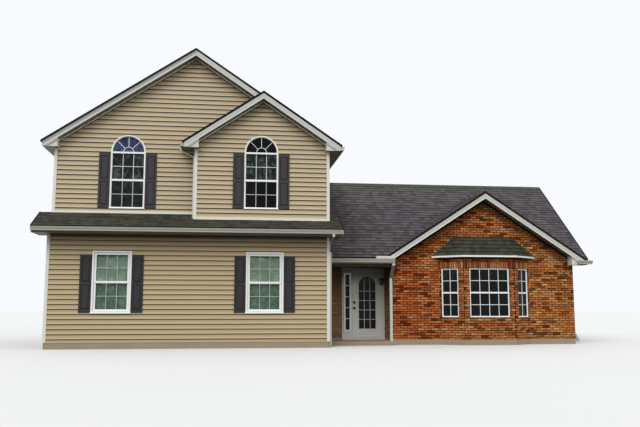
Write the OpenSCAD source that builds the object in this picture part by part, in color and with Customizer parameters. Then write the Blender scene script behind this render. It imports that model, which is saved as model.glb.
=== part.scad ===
// Detached two-wing house: a two-storey gabled wing with lap siding, a recessed
// entry, and a one-storey brick wing with a canted bay window.
// Millimetres. Z = 0 is the ground, and the front looks towards -Y.

/* [Plan] */
// Width of the two-storey wing along the front
wing_w = 7300; // [7200:10:7600]
// Clear width of the recessed entry
entry_w = 2000; // [1950:10:2200]
// Width of the brick front
brick_w = 5470; // [5300:10:5800]
// Depth of the house behind the front of the two-storey wing
house_d = 7000; // [6600:50:8000]
// Set-back of the brick front behind the two-storey wing
brick_y = 1200; // [1100:10:1400]
// Set-back of the door wall behind the two-storey wing
entry_y = 2300; // [2100:10:2600]
// Thickness of a framed wall
wall_t = 150; // [130:5:200]
// Thickness of the brick-faced walls
brick_t = 200; // [160:5:240]

/* [Levels] */
// Top of the ground floor above the ground
floor_z = 160; // [130:5:200]
// Top of the entry slab above the ground
porch_z = 110; // [60:5:120]
// Ceiling of the ground storey above the ground
ceiling_z = 2940; // [2920:5:3000]
// Thickness of the upper floor
upper_t = 300; // [240:10:310]

/* [Upper storey] */
// Set-back of the upper front wall behind the ground storey
upper_y = 380; // [340:10:480]
// Set-back of the upper bay's front wall behind the ground storey
bay_y = 30; // [10:5:80]
// Left side of the upper bay
bay_x = 3692; // [3600:2:3900]

/* [Main roof] */
// Rise of the main roof for each unit of run
main_pitch = 0.675; // [0.66:0.005:0.69]
// Top of the main ridge above the ground
ridge_z = 8105; // [8080:5:8300]
// Overhang of the upper eaves past the side walls
eave_o = 330; // [280:10:380]
// Overhang of the roofs past the gable walls
rake_o = 250; // [200:10:320]
// Vertical thickness of shingles and decking
deck_t = 35; // [25:1:45]
// Vertical depth of the rafters
rafter_t = 130; // [125:5:160]
// Height of an eave's face, from its underside to the shingles
eave_h = 145; // [120:1:150]
// How far the shingles stand out past an eave's fascia
drip = 40; // [20:5:50]
// How far a boxed eave end laps over the front of its wall
box_lap = 90; // [60:5:100]

/* [Pent roof] */
// Edge of the pent roof in front of the ground storey
pent_o = 500; // [420:10:560]
// Overhang of the pent roof past the side walls
pent_side_o = 300; // [220:10:360]
// Top of the pent roof at its edge
pent_z = 3105; // [3095:5:3160]
// Rise of the pent roof for each unit of run
pent_pitch = 0.505; // [0.49:0.005:0.54]
// Vertical thickness of the pent roof
pent_t = 60; // [40:5:70]
// Height of the pent roof's edge, from its soffit to the shingles
pent_h = 180; // [160:5:190]

/* [One-storey roof] */
// Rise of the one-storey roof for each unit of run
low_pitch = 0.83; // [0.81:0.01:0.85]
// Top of the one-storey roof at its eave
low_eave_z = 2466; // [2460:1:2500]
// Height of the one-storey eaves' face
low_eave_h = 170; // [150:2:174]
// Overhang of the one-storey eaves
low_eave_o = 300; // [260:10:340]
// Overhang of the one-storey roof past its gable wall
low_rake_o = 320; // [280:10:350]
// How far the brick gable's boxed eave ends lap over the brick
brick_box_lap = 150; // [100:5:180]
// Lap of the eave box over the brick wall on the entry's side
entry_box_lap = 20; // [10:5:60]
// Rise of the brick gable's roof for each unit of run
brick_pitch = 0.65; // [0.63:0.01:0.66]
// Overhang of the brick gable's eaves past its sides
brick_eave_o = 270; // [240:10:300]

/* [Boards and gutters] */
// Thickness of fascias, soffits and corner boards
board_t = 20; // [14:1:24]
// Depth of the rake fascias
fascia_h = 165; // [155:5:180]
// Width of a corner board
corner_w = 60; // [50:5:110]
// Height of the boards over the pent roof
base_h = 60; // [40:5:80]
// Height of the gutters
gutter_h = 105; // [95:5:115]
// Depth of the gutters
gutter_d = 115; // [100:5:125]
// Drop of the one-storey gutters below their shingles
low_gutter_drop = 8; // [4:1:20]
// Thickness of the gutters' sheet
gutter_t = 6; // [3:1:10]
// Wider side of a downspout
spout_w = 75; // [60:5:90]
// Narrower side of a downspout
spout_d = 55; // [45:5:65]
// Height of a downspout's foot above the ground
spout_foot_z = 60; // [30:10:120]

/* [Windows] */
// Width of the square-headed windows
win_w = 996; // [900:2:1040]
// Height of the square-headed windows
win_h = 1608; // [1500:2:1620]
// Sill of the ground-storey windows above the ground
sill_z = 902; // [880:2:910]
// Left edge of the left front window
win_x = 1135; // [1050:5:1300]
// Distance between the two front windows
win_pitch = 3947; // [3800:1:4000]
// Sill of the plain upper windows above the upper floor
upper_sill = 700; // [600:10:760]
// Height of the plain upper windows and of the windows behind the brick front
upper_win_h = 1300; // [1100:10:1320]
// Sill of the windows behind the brick front, above the ground
rear_sill_z = 950; // [880:10:970]
// Near edge of the windows in the side walls
side_win_y = 3200; // [3000:50:3600]
// Left edge of the first rear window of the brick wing
right_rear_x = 1500; // [1200:50:1800]
// Width of the round-topped windows
arch_w = 912; // [860:2:940]
// Sill of the round-topped windows above the ground
arch_sill_z = 3672; // [3670:2:3740]
// Spring line of the round-topped windows above the ground
arch_spring_z = 5215; // [5150:5:5225]
// Left edge of the main gable's window
arch_x = 1446; // [1350:2:1600]
// Left edge of the upper bay's window, from the bay's side
bay_arch_dx = 1314; // [1250:2:1400]
// Width of the casing and frame round a plain window's panes
frame_w = 104; // [90:2:120]
// Width of the frame round a round-topped window's panes
arch_frame_w = 66; // [54:2:80]
// Depth of a window frame in its wall
frame_d = 110; // [90:5:125]
// How far a frame stands out from its wall
frame_out = 25; // [15:1:32]
// Depth of the glass behind the wall's face
glass_y = 30; // [20:1:50]
// Thickness of the glass sheets
glass_t = 12; // [8:1:16]
// Height of a meeting rail
rail_h = 55; // [45:1:70]
// Height of the bar at a spring line
spring_bar_h = 58; // [45:1:70]
// Width of a shutter
shutter_w = 300; // [270:5:310]
// Height of a shutter
shutter_h = 1495; // [1400:5:1505]
// Thickness of a shutter
shutter_t = 30; // [22:1:40]
// Drop of the ground-storey shutters below the window tops
shutter_drop = 95; // [80:5:100]
// Drop of the upper shutters below the spring lines
arch_shutter_drop = 35; // [30:1:38]
// Gap beside a shutter
shutter_gap = 4; // [2:1:8]

/* [Bay window] */
// Width of the bay window's front facet
cant_front_w = 1510; // [1440:10:1560]
// Run of a side facet along the wall
cant_side_run = 610; // [600:10:660]
// Projection of the bay window from the wall
cant_d = 430; // [410:10:460]
// Sill of the bay window's panes above the ground
cant_sill_z = 785; // [740:5:800]
// Height of the bay window's openings
cant_win_h = 1385; // [1350:5:1400]
// Width of the front opening
cant_win_w = 1170; // [1140:2:1200]
// Width of a side opening
cant_side_w = 500; // [470:5:510]
// How far the side openings stand from the middle of their facets, towards the wall
cant_side_shift = 42; // [20:2:46]
// Width of the bay window's frames
cant_frame_w = 55; // [45:1:65]
// Back of the bay window's frames behind the brick's face
cant_frame_d = 55; // [53:1:57]
// Front of the bay window's frames behind the brick's face
cant_reveal = 10; // [5:1:20]
// Thickness of the bay window's walls
cant_t = 120; // [110:5:130]
// Height of the head over the bay window's openings
cant_head_h = 320; // [300:5:330]
// Thickness of the bay window's eave board
cant_board_t = 55; // [50:5:60]
// Overhang of the bay window's eaves
cant_o = 115; // [90:5:130]
// Height of the bay window's roof
cant_roof_h = 580; // [520:10:600]
// Width of the roof's top edge on the wall
cant_ridge_w = 1710; // [1650:10:1760]

/* [Entry] */
// Width of the door leaf
door_w = 906; // [880:2:920]
// Height of the door leaf
door_h = 2024; // [1980:2:2030]
// Thickness of the door leaf
door_t = 44; // [40:1:48]
// Clearance round the door leaf
door_gap = 7; // [6.5:0.5:8]
// Width of the frame at the hinge side
hinge_jamb_w = 67; // [60:1:75]
// Width of the post between the door and the sidelight
mullion_w = 80; // [70:1:90]
// Width of the sidelight's pane
side_pane_w = 120; // [110:2:140]
// Width of the frame at the sidelight
side_jamb_w = 110; // [90:2:120]
// Foot of the sidelight's pane above the foot of the leaf
side_pane_foot = 215; // [180:5:260]
// Height of the sidelight's pane
side_pane_h = 1635; // [1560:5:1700]
// Height of the frame's head
door_head_h = 85; // [70:1:90]
// Thickness of the door stops
stop_t = 12; // [10:1:14]
// How far the door stops reach over the leaf
stop_lap = 12; // [10:1:15]
// Thickness of the threshold above the floor
sill_t = 21; // [15:1:25]
// Radius of the hinge barrels
hinge_r = 7; // [6:0.5:8]
// Height of a hinge barrel on the door
hinge_h = 100; // [80:5:120]
// Distance of the end hinges from the ends of the leaf
hinge_inset = 180; // [150:5:250]
// Radius of a hinge pin
hinge_pin_r = 3; // [2.5:0.5:4]
// Radial clearance round a hinge pin
hinge_pin_gap = 0.1; // [0.05:0.05:0.3]
// Height of a knuckle on the frame
knuckle_h = 18; // [10:1:30]
// Clearance between a knuckle and the barrel on the door
knuckle_gap = 0.5; // [0.3:0.1:1]
// Thickness of a hinge plate
hinge_plate_t = 3; // [2:0.5:3.5]
// Width of a hinge plate
hinge_plate_w = 40; // [30:1:50]
// Width of the door's pane
door_pane_w = 520; // [460:10:560]
// Foot of the door's pane above the foot of the leaf
door_pane_foot = 240; // [200:10:300]
// Height of the door's pane to the spring of its arched top
door_pane_h = 1300; // [1200:10:1320]
// Height of the door knob above the foot of the leaf
knob_z = 850; // [800:10:920]
// Distance of the knob from the free edge of the leaf
knob_inset = 62; // [55:1:75]
// Height of the deadbolt above the knob
bolt_dz = 170; // [140:5:200]
// Radius of the knob
knob_r = 28; // [24:1:32]
// Depth of the beam over the entry
beam_h = 80; // [60:5:90]
// Width of the beam over the entry
beam_t = 120; // [100:5:150]
// Height of the lantern
lantern_h = 230; // [200:5:260]
// Width of the lantern
lantern_w = 90; // [80:5:110]
// Reach of the lantern's arm from the wall
lantern_arm = 160; // [120:5:180]
// Distance of the lantern in front of the door wall
lantern_inset = 150; // [120:10:300]
// Thickness of the lantern's wall plate
plate_t = 12; // [8:1:20]
// Width of the lantern's wall plate
plate_w = 70; // [60:5:90]
// Thickness of the lantern's arm
arm_t = 18; // [12:1:24]
// Foot of the lantern above the ground
lantern_z = 1725; // [1650:5:1800]

/* [Hidden] */
$fn = 64;

siding_color = "tan";
brick_color = "peru";
trim_color = "whitesmoke";
shingle_color = "dimgray";
glass_color = "lightsteelblue";
shutter_color = "darkslategray";

far = 20000;
skin = 5;

house_w = wing_w + entry_w + brick_w;
brick_x = wing_w + entry_w;
brick_back = brick_y + brick_t;
upper_z = ceiling_z + upper_t;
roof_t = deck_t + rafter_t;

// The frame's origin is on the ground in the middle of the plan
module place() {
    translate([-house_w / 2, -house_d / 2, 0]) children();
}

// A box between corners, and prisms along Y and along X
module box(x0, x1, y0, y1, z0, z1) {
    translate([x0, y0, z0]) cube([x1 - x0, y1 - y0, z1 - z0]);
}
module along_y(y0, y1, outline) {
    translate([0, y1, 0]) rotate([90, 0, 0]) linear_extrude(y1 - y0) polygon(outline);
}
module along_x(x0, x1, outline) {
    translate([x0, 0, 0]) rotate([90, 0, 90]) linear_extrude(x1 - x0) polygon(outline);
}

// Roof planes: [place of the ridge in plan, its top, pitch, run to the eave, height of the eave]
main_plane = [wing_w / 2, ridge_z, main_pitch, wing_w / 2 + eave_o, eave_h];
bay_ridge_x = (bay_x + wing_w) / 2;
bay_plane = [
    bay_ridge_x, ridge_z - main_pitch * (bay_ridge_x - wing_w / 2), main_pitch,
    (wing_w - bay_x) / 2 + eave_o, eave_h,
];
low_front_y = brick_y - low_eave_o;
low_run = (house_d + 2 * low_eave_o - brick_y) / 2;
low_plane = [
    low_front_y + low_run, low_eave_z + low_pitch * low_run, low_pitch, low_run, low_eave_h,
];
brick_run = brick_w / 2 + brick_eave_o;
brick_plane = [
    brick_x + brick_w / 2, low_eave_z + brick_pitch * brick_run, brick_pitch, brick_run,
    low_eave_h,
];
function plane_top(p, at) = p[1] - p[2] * abs(at - p[0]);
function underside(p, at) = plane_top(p, at) - roof_t;
function box_level(p) = p[1] - p[2] * p[3] - p[4];
function soffit_top(p) = box_level(p) + board_t;
main_box_z = box_level(main_plane);
low_box_z = box_level(low_plane);

rake_y = upper_y - rake_o;
bay_rake_y = bay_y - rake_o;
rear_rake_y = house_d + rake_o;
low_right_x = house_w + low_rake_o;

function pent_top(y) = pent_z + pent_pitch * (y + pent_o);
pent_soffit_z = pent_z - pent_h;

// The left slope of a roof, with its ridge over local x = 0 and its length along Y; the slab
// lies between two depths below the shingles' top and is cut off level
module strip(p, y0, y1, depth0, depth1, run, level) {
    intersection() {
        along_y(y0, y1, [
            [-run, p[1] - p[2] * run - depth0], [0, p[1] - depth0],
            [0, p[1] - depth1], [-run, p[1] - p[2] * run - depth1],
        ]);
        box(-far, far, y0 - skin, y1 + skin, level, far);
    }
}
module rafters(p, y0, y1) {
    strip(p, y0, y1, deck_t, roof_t, p[3] - drip - board_t, soffit_top(p));
}
module fascia(p, y0, y1, run) {
    strip(p, y0, y1, deck_t, deck_t + fascia_h, run, box_level(p));
}
module soffit(p, y0, y1, run) {
    strip(p, y0, y1, roof_t, roof_t + board_t, run, soffit_top(p));
}
module slope(p, y0, y1) {
    strip(p, y0, y1, 0, deck_t, p[3], 0);
    rafters(p, y0 + board_t, y1 - board_t);
}
// A rake fascia with its soffit and boxed eave end; the end laps over the wall up to run_in
module rake_end(p, y_out, y_wall, run_in, run_out) {
    y_in = y_out + sign(y_wall - y_out) * board_t;
    y0 = min(y_in, y_wall);
    y1 = max(y_in, y_wall);
    run_flat = (p[1] - roof_t - soffit_top(p)) / p[2];
    fascia(p, min(y_out, y_in), max(y_out, y_in), p[3] - drip);
    soffit(p, y0, y1, run_in);
    along_y(y0, y1, concat(
        [[-run_out, box_level(p)], [-run_in, box_level(p)],
         [-run_in, p[1] - p[2] * run_in - roof_t]],
        run_flat < run_out
            ? [[-run_flat, soffit_top(p)], [-run_out, soffit_top(p)]]
            : [[-run_out, p[1] - p[2] * run_out - roof_t]]
    ));
}
// The fascia of an eave from y0 to y1 and its soffit from wall_y0 to wall_y1
module eave_side(p, y0, y1, wall_run, wall_y0, wall_y1) {
    x_out = drip - p[3];
    x_in = x_out + board_t;
    along_y(y0, y1, [
        [x_out, box_level(p)], [x_in, box_level(p)],
        [x_in, p[1] + p[2] * x_in - deck_t], [x_out, p[1] + p[2] * x_out - deck_t],
    ]);
    box(x_in, -wall_run, wall_y0, wall_y1, box_level(p), soffit_top(p));
}
// Puts a left slope on its ridge, or mirrors it to the right
module left_of(p) {
    translate([p[0], 0, 0]) children();
}
module right_of(p) {
    translate([p[0], 0, 0]) mirror([1, 0, 0]) children();
}
// Turns a left slope into the front or the rear slope of the one-storey roof
module front_of(p) {
    translate([0, p[0], 0]) rotate([0, 0, 90]) children();
}
module rear_of(p) {
    translate([0, p[0], 0]) mirror([0, 1, 0]) rotate([0, 0, 90]) children();
}

// Windows: [x, y, turn] of the lower left corner seen from outside
rear_xs = [win_x, win_x + win_pitch];
right_rear_xs = [brick_x - entry_w + right_rear_x, house_w - right_rear_x - win_w];
lower_places = concat(
    [for (x = [win_x, win_x + win_pitch]) [x, 0, 0]],
    [for (x = rear_xs) [x + win_w, house_d, 180]],
    [[0, side_win_y + win_w, -90], [house_w, side_win_y, 90]]
);
upper_places = concat(
    [for (x = rear_xs) [x + win_w, house_d, 180]],
    [[0, side_win_y + win_w, -90]]
);
rear_places = [for (x = right_rear_xs) [x + win_w, house_d, 180]];
upper_win_z = upper_z + upper_sill;
bay_arch_x = bay_x + bay_arch_dx;
arch_places = [[arch_x, upper_y], [bay_arch_x, bay_y]];

module at_windows(places, z) {
    for (p = places) translate([p[0], p[1], z]) rotate([0, 0, p[2]]) children();
}
module window_holes() {
    at_windows(lower_places, sill_z) box(0, win_w, -skin, wall_t + skin, 0, win_h);
    at_windows(upper_places, upper_win_z)
        box(0, win_w, -skin, wall_t + skin, 0, upper_win_h);
    at_windows(rear_places, rear_sill_z)
        box(0, win_w, -skin, wall_t + skin, 0, upper_win_h);
    for (p = arch_places) translate([p[0], p[1], 0])
        arch_prism(-skin, wall_t + skin, arch_w, arch_sill_z, arch_spring_z);
}
module arch_prism(y0, y1, w, foot, spring, inset = 0) {
    translate([0, y1, 0]) rotate([90, 0, 0]) linear_extrude(y1 - y0) union() {
        translate([inset, foot + inset]) square([w - 2 * inset, spring - foot - inset]);
        translate([w / 2, spring]) circle(w / 2 - inset);
    }
}

// Ground
cant_mid_x = brick_x + brick_w / 2;
cant_front_y = brick_y - cant_d;
cant_full_w = cant_front_w + 2 * cant_side_run;
function cant_outline(front_w, full_w, front_y) = [
    [cant_mid_x - full_w / 2, brick_y], [cant_mid_x - front_w / 2, front_y],
    [cant_mid_x + front_w / 2, front_y], [cant_mid_x + full_w / 2, brick_y],
];
module ground_floor() {
    color("silver") place() linear_extrude(floor_z) polygon(concat(
        [[0, 0], [wing_w, 0], [wing_w, entry_y], [brick_x, entry_y], [brick_x, brick_y]],
        cant_outline(cant_front_w, cant_full_w, cant_front_y),
        [[house_w, brick_y], [house_w, house_d], [0, house_d]]
    ));
}
module porch_slab() {
    color("silver") place()
        box(wing_w, brick_x, low_front_y + board_t, entry_y, 0, porch_z);
}

// Walls of the two-storey wing
module lower_front_wall() {
    color(siding_color) place() difference() {
        box(0, wing_w, 0, wall_t, floor_z, ceiling_z);
        window_holes();
    }
}
module lower_left_wall() {
    color(siding_color) place() difference() {
        box(0, wall_t, wall_t, house_d - wall_t, floor_z, ceiling_z);
        window_holes();
    }
}
module lower_rear_wall() {
    color(siding_color) place() difference() {
        box(0, wing_w, house_d - wall_t, house_d, floor_z, ceiling_z);
        window_holes();
    }
}
module porch_left_wall() {
    color(siding_color) place()
        box(wing_w - wall_t, wing_w, wall_t, entry_y + wall_t, floor_z, ceiling_z);
}
module upper_floor() {
    color("burlywood") place() box(0, wing_w, 0, house_d, ceiling_z, upper_z);
}
module upper_front_wall() {
    color(siding_color) place() difference() {
        along_y(upper_y, upper_y + wall_t, [
            [0, upper_z], [bay_x, upper_z], [bay_x, underside(main_plane, bay_x)],
            [wing_w / 2, underside(main_plane, wing_w / 2)], [0, underside(main_plane, 0)],
        ]);
        window_holes();
    }
}
// The main gable's wall over the opening into the upper bay
module upper_gable_wall() {
    color(siding_color) place()
        along_y(upper_y, upper_y + wall_t, [
            [bay_x, main_box_z], [wing_w - wall_t, main_box_z],
            [wing_w - wall_t, underside(main_plane, wing_w - wall_t)],
            [bay_x, underside(main_plane, bay_x)],
        ]);
}
module bay_front_wall() {
    color(siding_color) place() difference() {
        union() {
            along_y(bay_y, bay_y + wall_t, [
                [bay_x, upper_z], [wing_w, upper_z], [wing_w, underside(bay_plane, wing_w)],
                [bay_ridge_x, underside(bay_plane, bay_ridge_x)],
                [bay_x, underside(bay_plane, bay_x)],
            ]);
            along_y(bay_y, upper_y, [
                [bay_x, upper_z], [bay_x + wall_t, upper_z],
                [bay_x + wall_t, underside(bay_plane, bay_x + wall_t)],
                [bay_x, underside(bay_plane, bay_x)],
            ]);
        }
        window_holes();
    }
}
module side_wall_upper(y0) {
    difference() {
        along_y(y0, house_d - wall_t, [
            [0, upper_z], [wall_t, upper_z], [wall_t, underside(main_plane, wall_t)],
            [0, underside(main_plane, 0)],
        ]);
        window_holes();
    }
}
module upper_left_wall() {
    color(siding_color) place() side_wall_upper(upper_y + wall_t);
}
module upper_right_wall() {
    color(siding_color) place() along_y(bay_y + wall_t, house_d - wall_t, [
        [wing_w, upper_z], [wing_w - wall_t, upper_z],
        [wing_w - wall_t, underside(main_plane, wing_w - wall_t)],
        [wing_w, underside(main_plane, wing_w)],
    ]);
}
module upper_rear_wall() {
    color(siding_color) place() difference() {
        along_y(house_d - wall_t, house_d, [
            [0, upper_z], [wing_w, upper_z], [wing_w, underside(main_plane, wing_w)],
            [wing_w / 2, underside(main_plane, wing_w / 2)], [0, underside(main_plane, 0)],
        ]);
        window_holes();
    }
}

// Main roof; its right slope comes forward over the upper bay
module main_roof_left() {
    color(shingle_color) place() left_of(main_plane) slope(main_plane, rake_y, rear_rake_y);
}
module main_roof_right() {
    color(shingle_color) place() difference() {
        union() {
            right_of(main_plane) slope(main_plane, rake_y, rear_rake_y);
            intersection() {
                right_of(main_plane) slope(main_plane, bay_rake_y, rake_y + 3 * board_t);
                box(bay_ridge_x, far, -far, far, 0, far);
            }
        }
        bay_slope_zone();
    }
}
// The space below the top of the upper bay's left slope, in front of the main gable
module bay_slope_zone() {
    along_y(bay_rake_y - skin, upper_y, [
        [bay_x - far, plane_top(bay_plane, bay_x - far)], [bay_x - far, -far],
        [bay_ridge_x, -far], [bay_ridge_x, plane_top(bay_plane, bay_ridge_x)],
    ]);
}
module bay_gable_roof() {
    color(shingle_color) place() left_of(bay_plane) {
        strip(bay_plane, bay_rake_y, upper_y, 0, deck_t, bay_plane[3], 0);
        rafters(bay_plane, bay_rake_y + board_t, upper_y);
    }
}

// Pent roof across the front between the storeys
module pent_roof() {
    color(shingle_color) place() difference() {
        along_x(-pent_side_o, wing_w + pent_side_o, [
            [-pent_o, pent_z - pent_t], [-pent_o, pent_z],
            [upper_y, pent_top(upper_y)], [upper_y, pent_top(upper_y) - pent_t],
        ]);
        box(bay_x, wing_w, bay_y, far, 0, far);
    }
}
module pent_boards() {
    x0 = -pent_side_o;
    x1 = wing_w + pent_side_o;
    color(trim_color) place() {
        along_x(x0, x1, [
            [-pent_o, pent_soffit_z], [-pent_o + board_t, pent_soffit_z],
            [-pent_o + board_t, pent_top(-pent_o + board_t) - pent_t],
            [-pent_o, pent_z - pent_t],
        ]);
        box(x0, x1, -pent_o + board_t, 0, pent_soffit_z, pent_soffit_z + board_t);
        for (side = [0, 1]) {
            mirror_wing(side) {
                box(x0, 0, 0, upper_y, pent_soffit_z, pent_soffit_z + board_t);
                along_x(x0, x0 + board_t, [
                    [-pent_o + board_t, pent_soffit_z], [upper_y, pent_soffit_z],
                    [upper_y, pent_top(upper_y) - pent_t],
                    [-pent_o + board_t, pent_top(-pent_o + board_t) - pent_t],
                ]);
                along_x(x0 + board_t, 0, [
                    [upper_y - board_t, pent_soffit_z + board_t],
                    [upper_y, pent_soffit_z + board_t], [upper_y, pent_top(upper_y) - pent_t],
                    [upper_y - board_t, pent_top(upper_y - board_t) - pent_t],
                ]);
            }
        }
    }
}
module mirror_wing(side) {
    translate([side * wing_w, 0, 0]) mirror([side, 0, 0]) children();
}

// Rake fascias, soffits and boxed eave ends of the two-storey wing
module wing_rake_end(p, y_out, y_wall, wall_run) {
    rake_end(p, y_out, y_wall, wall_run - box_lap, p[3] - drip - board_t);
}
module left_wing_trim() {
    bay_run = (wing_w - bay_x) / 2;
    over_bay = bay_ridge_x - main_plane[0];
    color(trim_color) place() {
        for (side = [0, 1]) mirror_wing(side) left_of(main_plane) {
            wing_rake_end(main_plane, rear_rake_y, house_d, wing_w / 2);
            eave_side(main_plane, (side == 0 ? rake_y : bay_rake_y) + board_t,
                rear_rake_y - board_t, wing_w / 2, side == 0 ? upper_y : bay_y, house_d);
        }
        left_of(main_plane) wing_rake_end(main_plane, rake_y, upper_y, wing_w / 2);
        difference() {
            right_of(main_plane) {
                fascia(main_plane, rake_y, rake_y + board_t, over_bay);
                soffit(main_plane, rake_y + board_t, upper_y, over_bay);
            }
            bay_slope_zone();
        }
        for (side = [0, 1]) translate([bay_ridge_x, 0, 0]) mirror([side, 0, 0])
            wing_rake_end(bay_plane, bay_rake_y, bay_y, bay_run);
        left_of(bay_plane)
            eave_side(bay_plane, bay_rake_y + board_t, upper_y, bay_run, bay_y, upper_y);
    }
}

// Corner boards: a strip on each of the two faces; x_dir and y_dir point out of the walls
module corner(x, y, x_dir, y_dir, z0, z1) {
    translate([x, y, z0]) mirror([x_dir > 0 ? 1 : 0, 0, 0]) mirror([0, y_dir > 0 ? 1 : 0, 0]) {
        translate([-board_t, -board_t, 0]) cube([corner_w + board_t, board_t, z1 - z0]);
        translate([-board_t, 0, 0]) cube([board_t, corner_w, z1 - z0]);
    }
}
module corner_boards() {
    color(trim_color) place() {
        corner(0, 0, -1, -1, floor_z, pent_soffit_z);
        corner(wing_w, 0, 1, -1, floor_z, pent_soffit_z);
        corner(0, house_d, -1, 1, floor_z, main_box_z);
        corner(house_w, house_d, 1, 1, floor_z, low_box_z);
        difference() {
            union() {
                corner(0, upper_y, -1, -1, pent_soffit_z, main_box_z);
                corner(bay_x, bay_y, -1, -1, pent_soffit_z, main_box_z);
                corner(wing_w, bay_y, 1, -1, pent_soffit_z, main_box_z);
                box(corner_w, bay_x, upper_y - board_t, upper_y,
                    pent_soffit_z, pent_top(upper_y) + base_h);
                box(bay_x + corner_w, wing_w - corner_w, bay_y - board_t, bay_y,
                    pent_soffit_z, pent_top(bay_y) + base_h);
            }
            under_pent();
        }
        box(wing_w - corner_w, wing_w, house_d, house_d + board_t, upper_z, main_box_z);
    }
}

// Gutters: a trough along Y with its back at local x = 0 and its top at local z = 0
module gutter(y0, y1) {
    difference() {
        along_y(y0, y1, [
            [0, -gutter_h], [0, 0], [-gutter_d, 0], [-gutter_d, -gutter_h * 0.35],
            [-gutter_d * 0.65, -gutter_h],
        ]);
        along_y(y0 + gutter_t, y1 - gutter_t, [
            [-gutter_t, -gutter_h + gutter_t], [-gutter_t, skin],
            [-gutter_d + gutter_t, skin], [-gutter_d + gutter_t, -gutter_h * 0.38],
            [-gutter_d * 0.65, -gutter_h + gutter_t],
        ]);
    }
}
pent_gutter_z = pent_z - deck_t;
upper_gutter_z = main_box_z + eave_h - deck_t;
low_gutter_z = low_eave_z - deck_t - low_gutter_drop;
return_x = brick_x - brick_eave_o;
return_h = 75;
module gutters() {
    color(trim_color) place() {
        translate([0, -pent_o, pent_gutter_z]) rotate([0, 0, 90])
            gutter(-wing_w - pent_side_o, pent_side_o);
        translate([bay_x - eave_o + drip, 0, upper_gutter_z])
            gutter(bay_rake_y, upper_y - board_t);
        translate([wing_w + eave_o - drip, 0, upper_gutter_z]) mirror([1, 0, 0])
            gutter(bay_rake_y, rear_rake_y);
        translate([0, low_front_y, low_gutter_z]) rotate([0, 0, 90]) {
            gutter(-brick_x, -wing_w);
            gutter(-low_right_x - gutter_d, -house_w);
        }
        translate([0, house_d + low_eave_o - drip, low_gutter_z]) mirror([0, 1, 0])
            rotate([0, 0, 90]) gutter(-low_right_x, -wing_w);
    }
}

// A downspout's outline: a stub at `from`, a slant of the given drop, and a run down at `to`
function spout_outline(from, to, w, top, drop, foot) = [
    [from, top], [from + w, top], [from + w, top - w], [to + w, top - w - drop],
    [to + w, foot], [to, foot], [to, top - w - drop], [from, top - w],
];
module downspouts() {
    bay_top_z = upper_gutter_z - gutter_h;
    bay_spout_y = bay_y + corner_w;
    wing_top_z = pent_gutter_z - gutter_h;
    slant = 350;
    foot_run = 180;
    color(trim_color) place() {
        difference() {
            along_y(bay_spout_y, bay_spout_y + spout_w,
                spout_outline(bay_x - eave_o - gutter_d / 2 - spout_d / 2, bay_x - spout_d,
                    spout_d, bay_top_z, slant / 2, upper_z));
            under_pent();
        }
        along_x(wing_w + board_t, wing_w + board_t + spout_d,
            spout_outline(-pent_o - gutter_d / 2 - spout_w / 2, corner_w, spout_w,
                wing_top_z, slant, spout_foot_z));
        for (z = [wing_top_z / 4, wing_top_z * 2 / 3])
            box(wing_w, wing_w + board_t, corner_w, corner_w + spout_w, z, z + spout_w);
        along_x(brick_x - spout_w, brick_x,
            spout_outline(low_front_y - gutter_d / 2 - spout_d / 2, brick_y, spout_d,
                low_box_z, slant, porch_z));
        along_y(brick_back, brick_back + spout_w, [
            [house_w, low_box_z], [house_w + spout_d, low_box_z],
            [house_w + spout_d, spout_foot_z + slant],
            [house_w + spout_d + foot_run, spout_foot_z + spout_d],
            [house_w + spout_d + foot_run, spout_foot_z], [house_w + foot_run, spout_foot_z],
            [house_w, spout_foot_z + slant],
        ]);
    }
}
// The space below the top of the pent roof
module under_pent() {
    along_x(-far, far, [
        [-pent_o, -far], [-pent_o, pent_z], [upper_y, pent_top(upper_y)],
        [upper_y, -far],
    ]);
}

// Windows: local X runs along the wall and local Y into it
module window_frame(w, h) {
    difference() {
        box(0, w, -frame_out, frame_d, 0, h);
        box(frame_w, w - frame_w, -frame_out - skin, frame_d + skin, frame_w, h - frame_w);
    }
    box(frame_w, w - frame_w, 0, glass_y, (h - rail_h) / 2, (h + rail_h) / 2);
}
module pane(w, h) {
    box(frame_w, w - frame_w, glass_y, glass_y + glass_t, frame_w, h - frame_w);
}
module lower_windows() {
    color(trim_color) place() {
        at_windows(lower_places, sill_z) window_frame(win_w, win_h);
        at_windows(rear_places, rear_sill_z) window_frame(win_w, upper_win_h);
    }
}
module arch_frame() {
    rail_z = (arch_sill_z + arch_spring_z - rail_h) / 2;
    difference() {
        arch_prism(-frame_out, frame_d, arch_w, arch_sill_z, arch_spring_z);
        arch_prism(-frame_out - skin, frame_d + skin, arch_w, arch_sill_z, arch_spring_z,
            arch_frame_w);
    }
    box(arch_frame_w, arch_w - arch_frame_w, 0, glass_y, rail_z, rail_z + rail_h);
    box(arch_frame_w, arch_w - arch_frame_w, -frame_out, glass_y,
        arch_spring_z - spring_bar_h, arch_spring_z);
}
module upper_windows() {
    color(trim_color) place() {
        at_windows(upper_places, upper_win_z) window_frame(win_w, upper_win_h);
        for (p = arch_places) translate([p[0], p[1], 0]) arch_frame();
    }
}
module window_glass() {
    color(glass_color) place() {
        at_windows(lower_places, sill_z) pane(win_w, win_h);
        at_windows(upper_places, upper_win_z) pane(win_w, upper_win_h);
        at_windows(rear_places, rear_sill_z) pane(win_w, upper_win_h);
        for (p = arch_places) translate([p[0], p[1], 0])
            arch_prism(glass_y, glass_y + glass_t, arch_w, arch_sill_z, arch_spring_z,
                arch_frame_w);
    }
}
module shutter_pair(x, y, w, top) {
    for (x0 = [x - shutter_gap - shutter_w, x + w + shutter_gap])
        box(x0, x0 + shutter_w, y - shutter_t, y, top - shutter_h, top);
}
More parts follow.
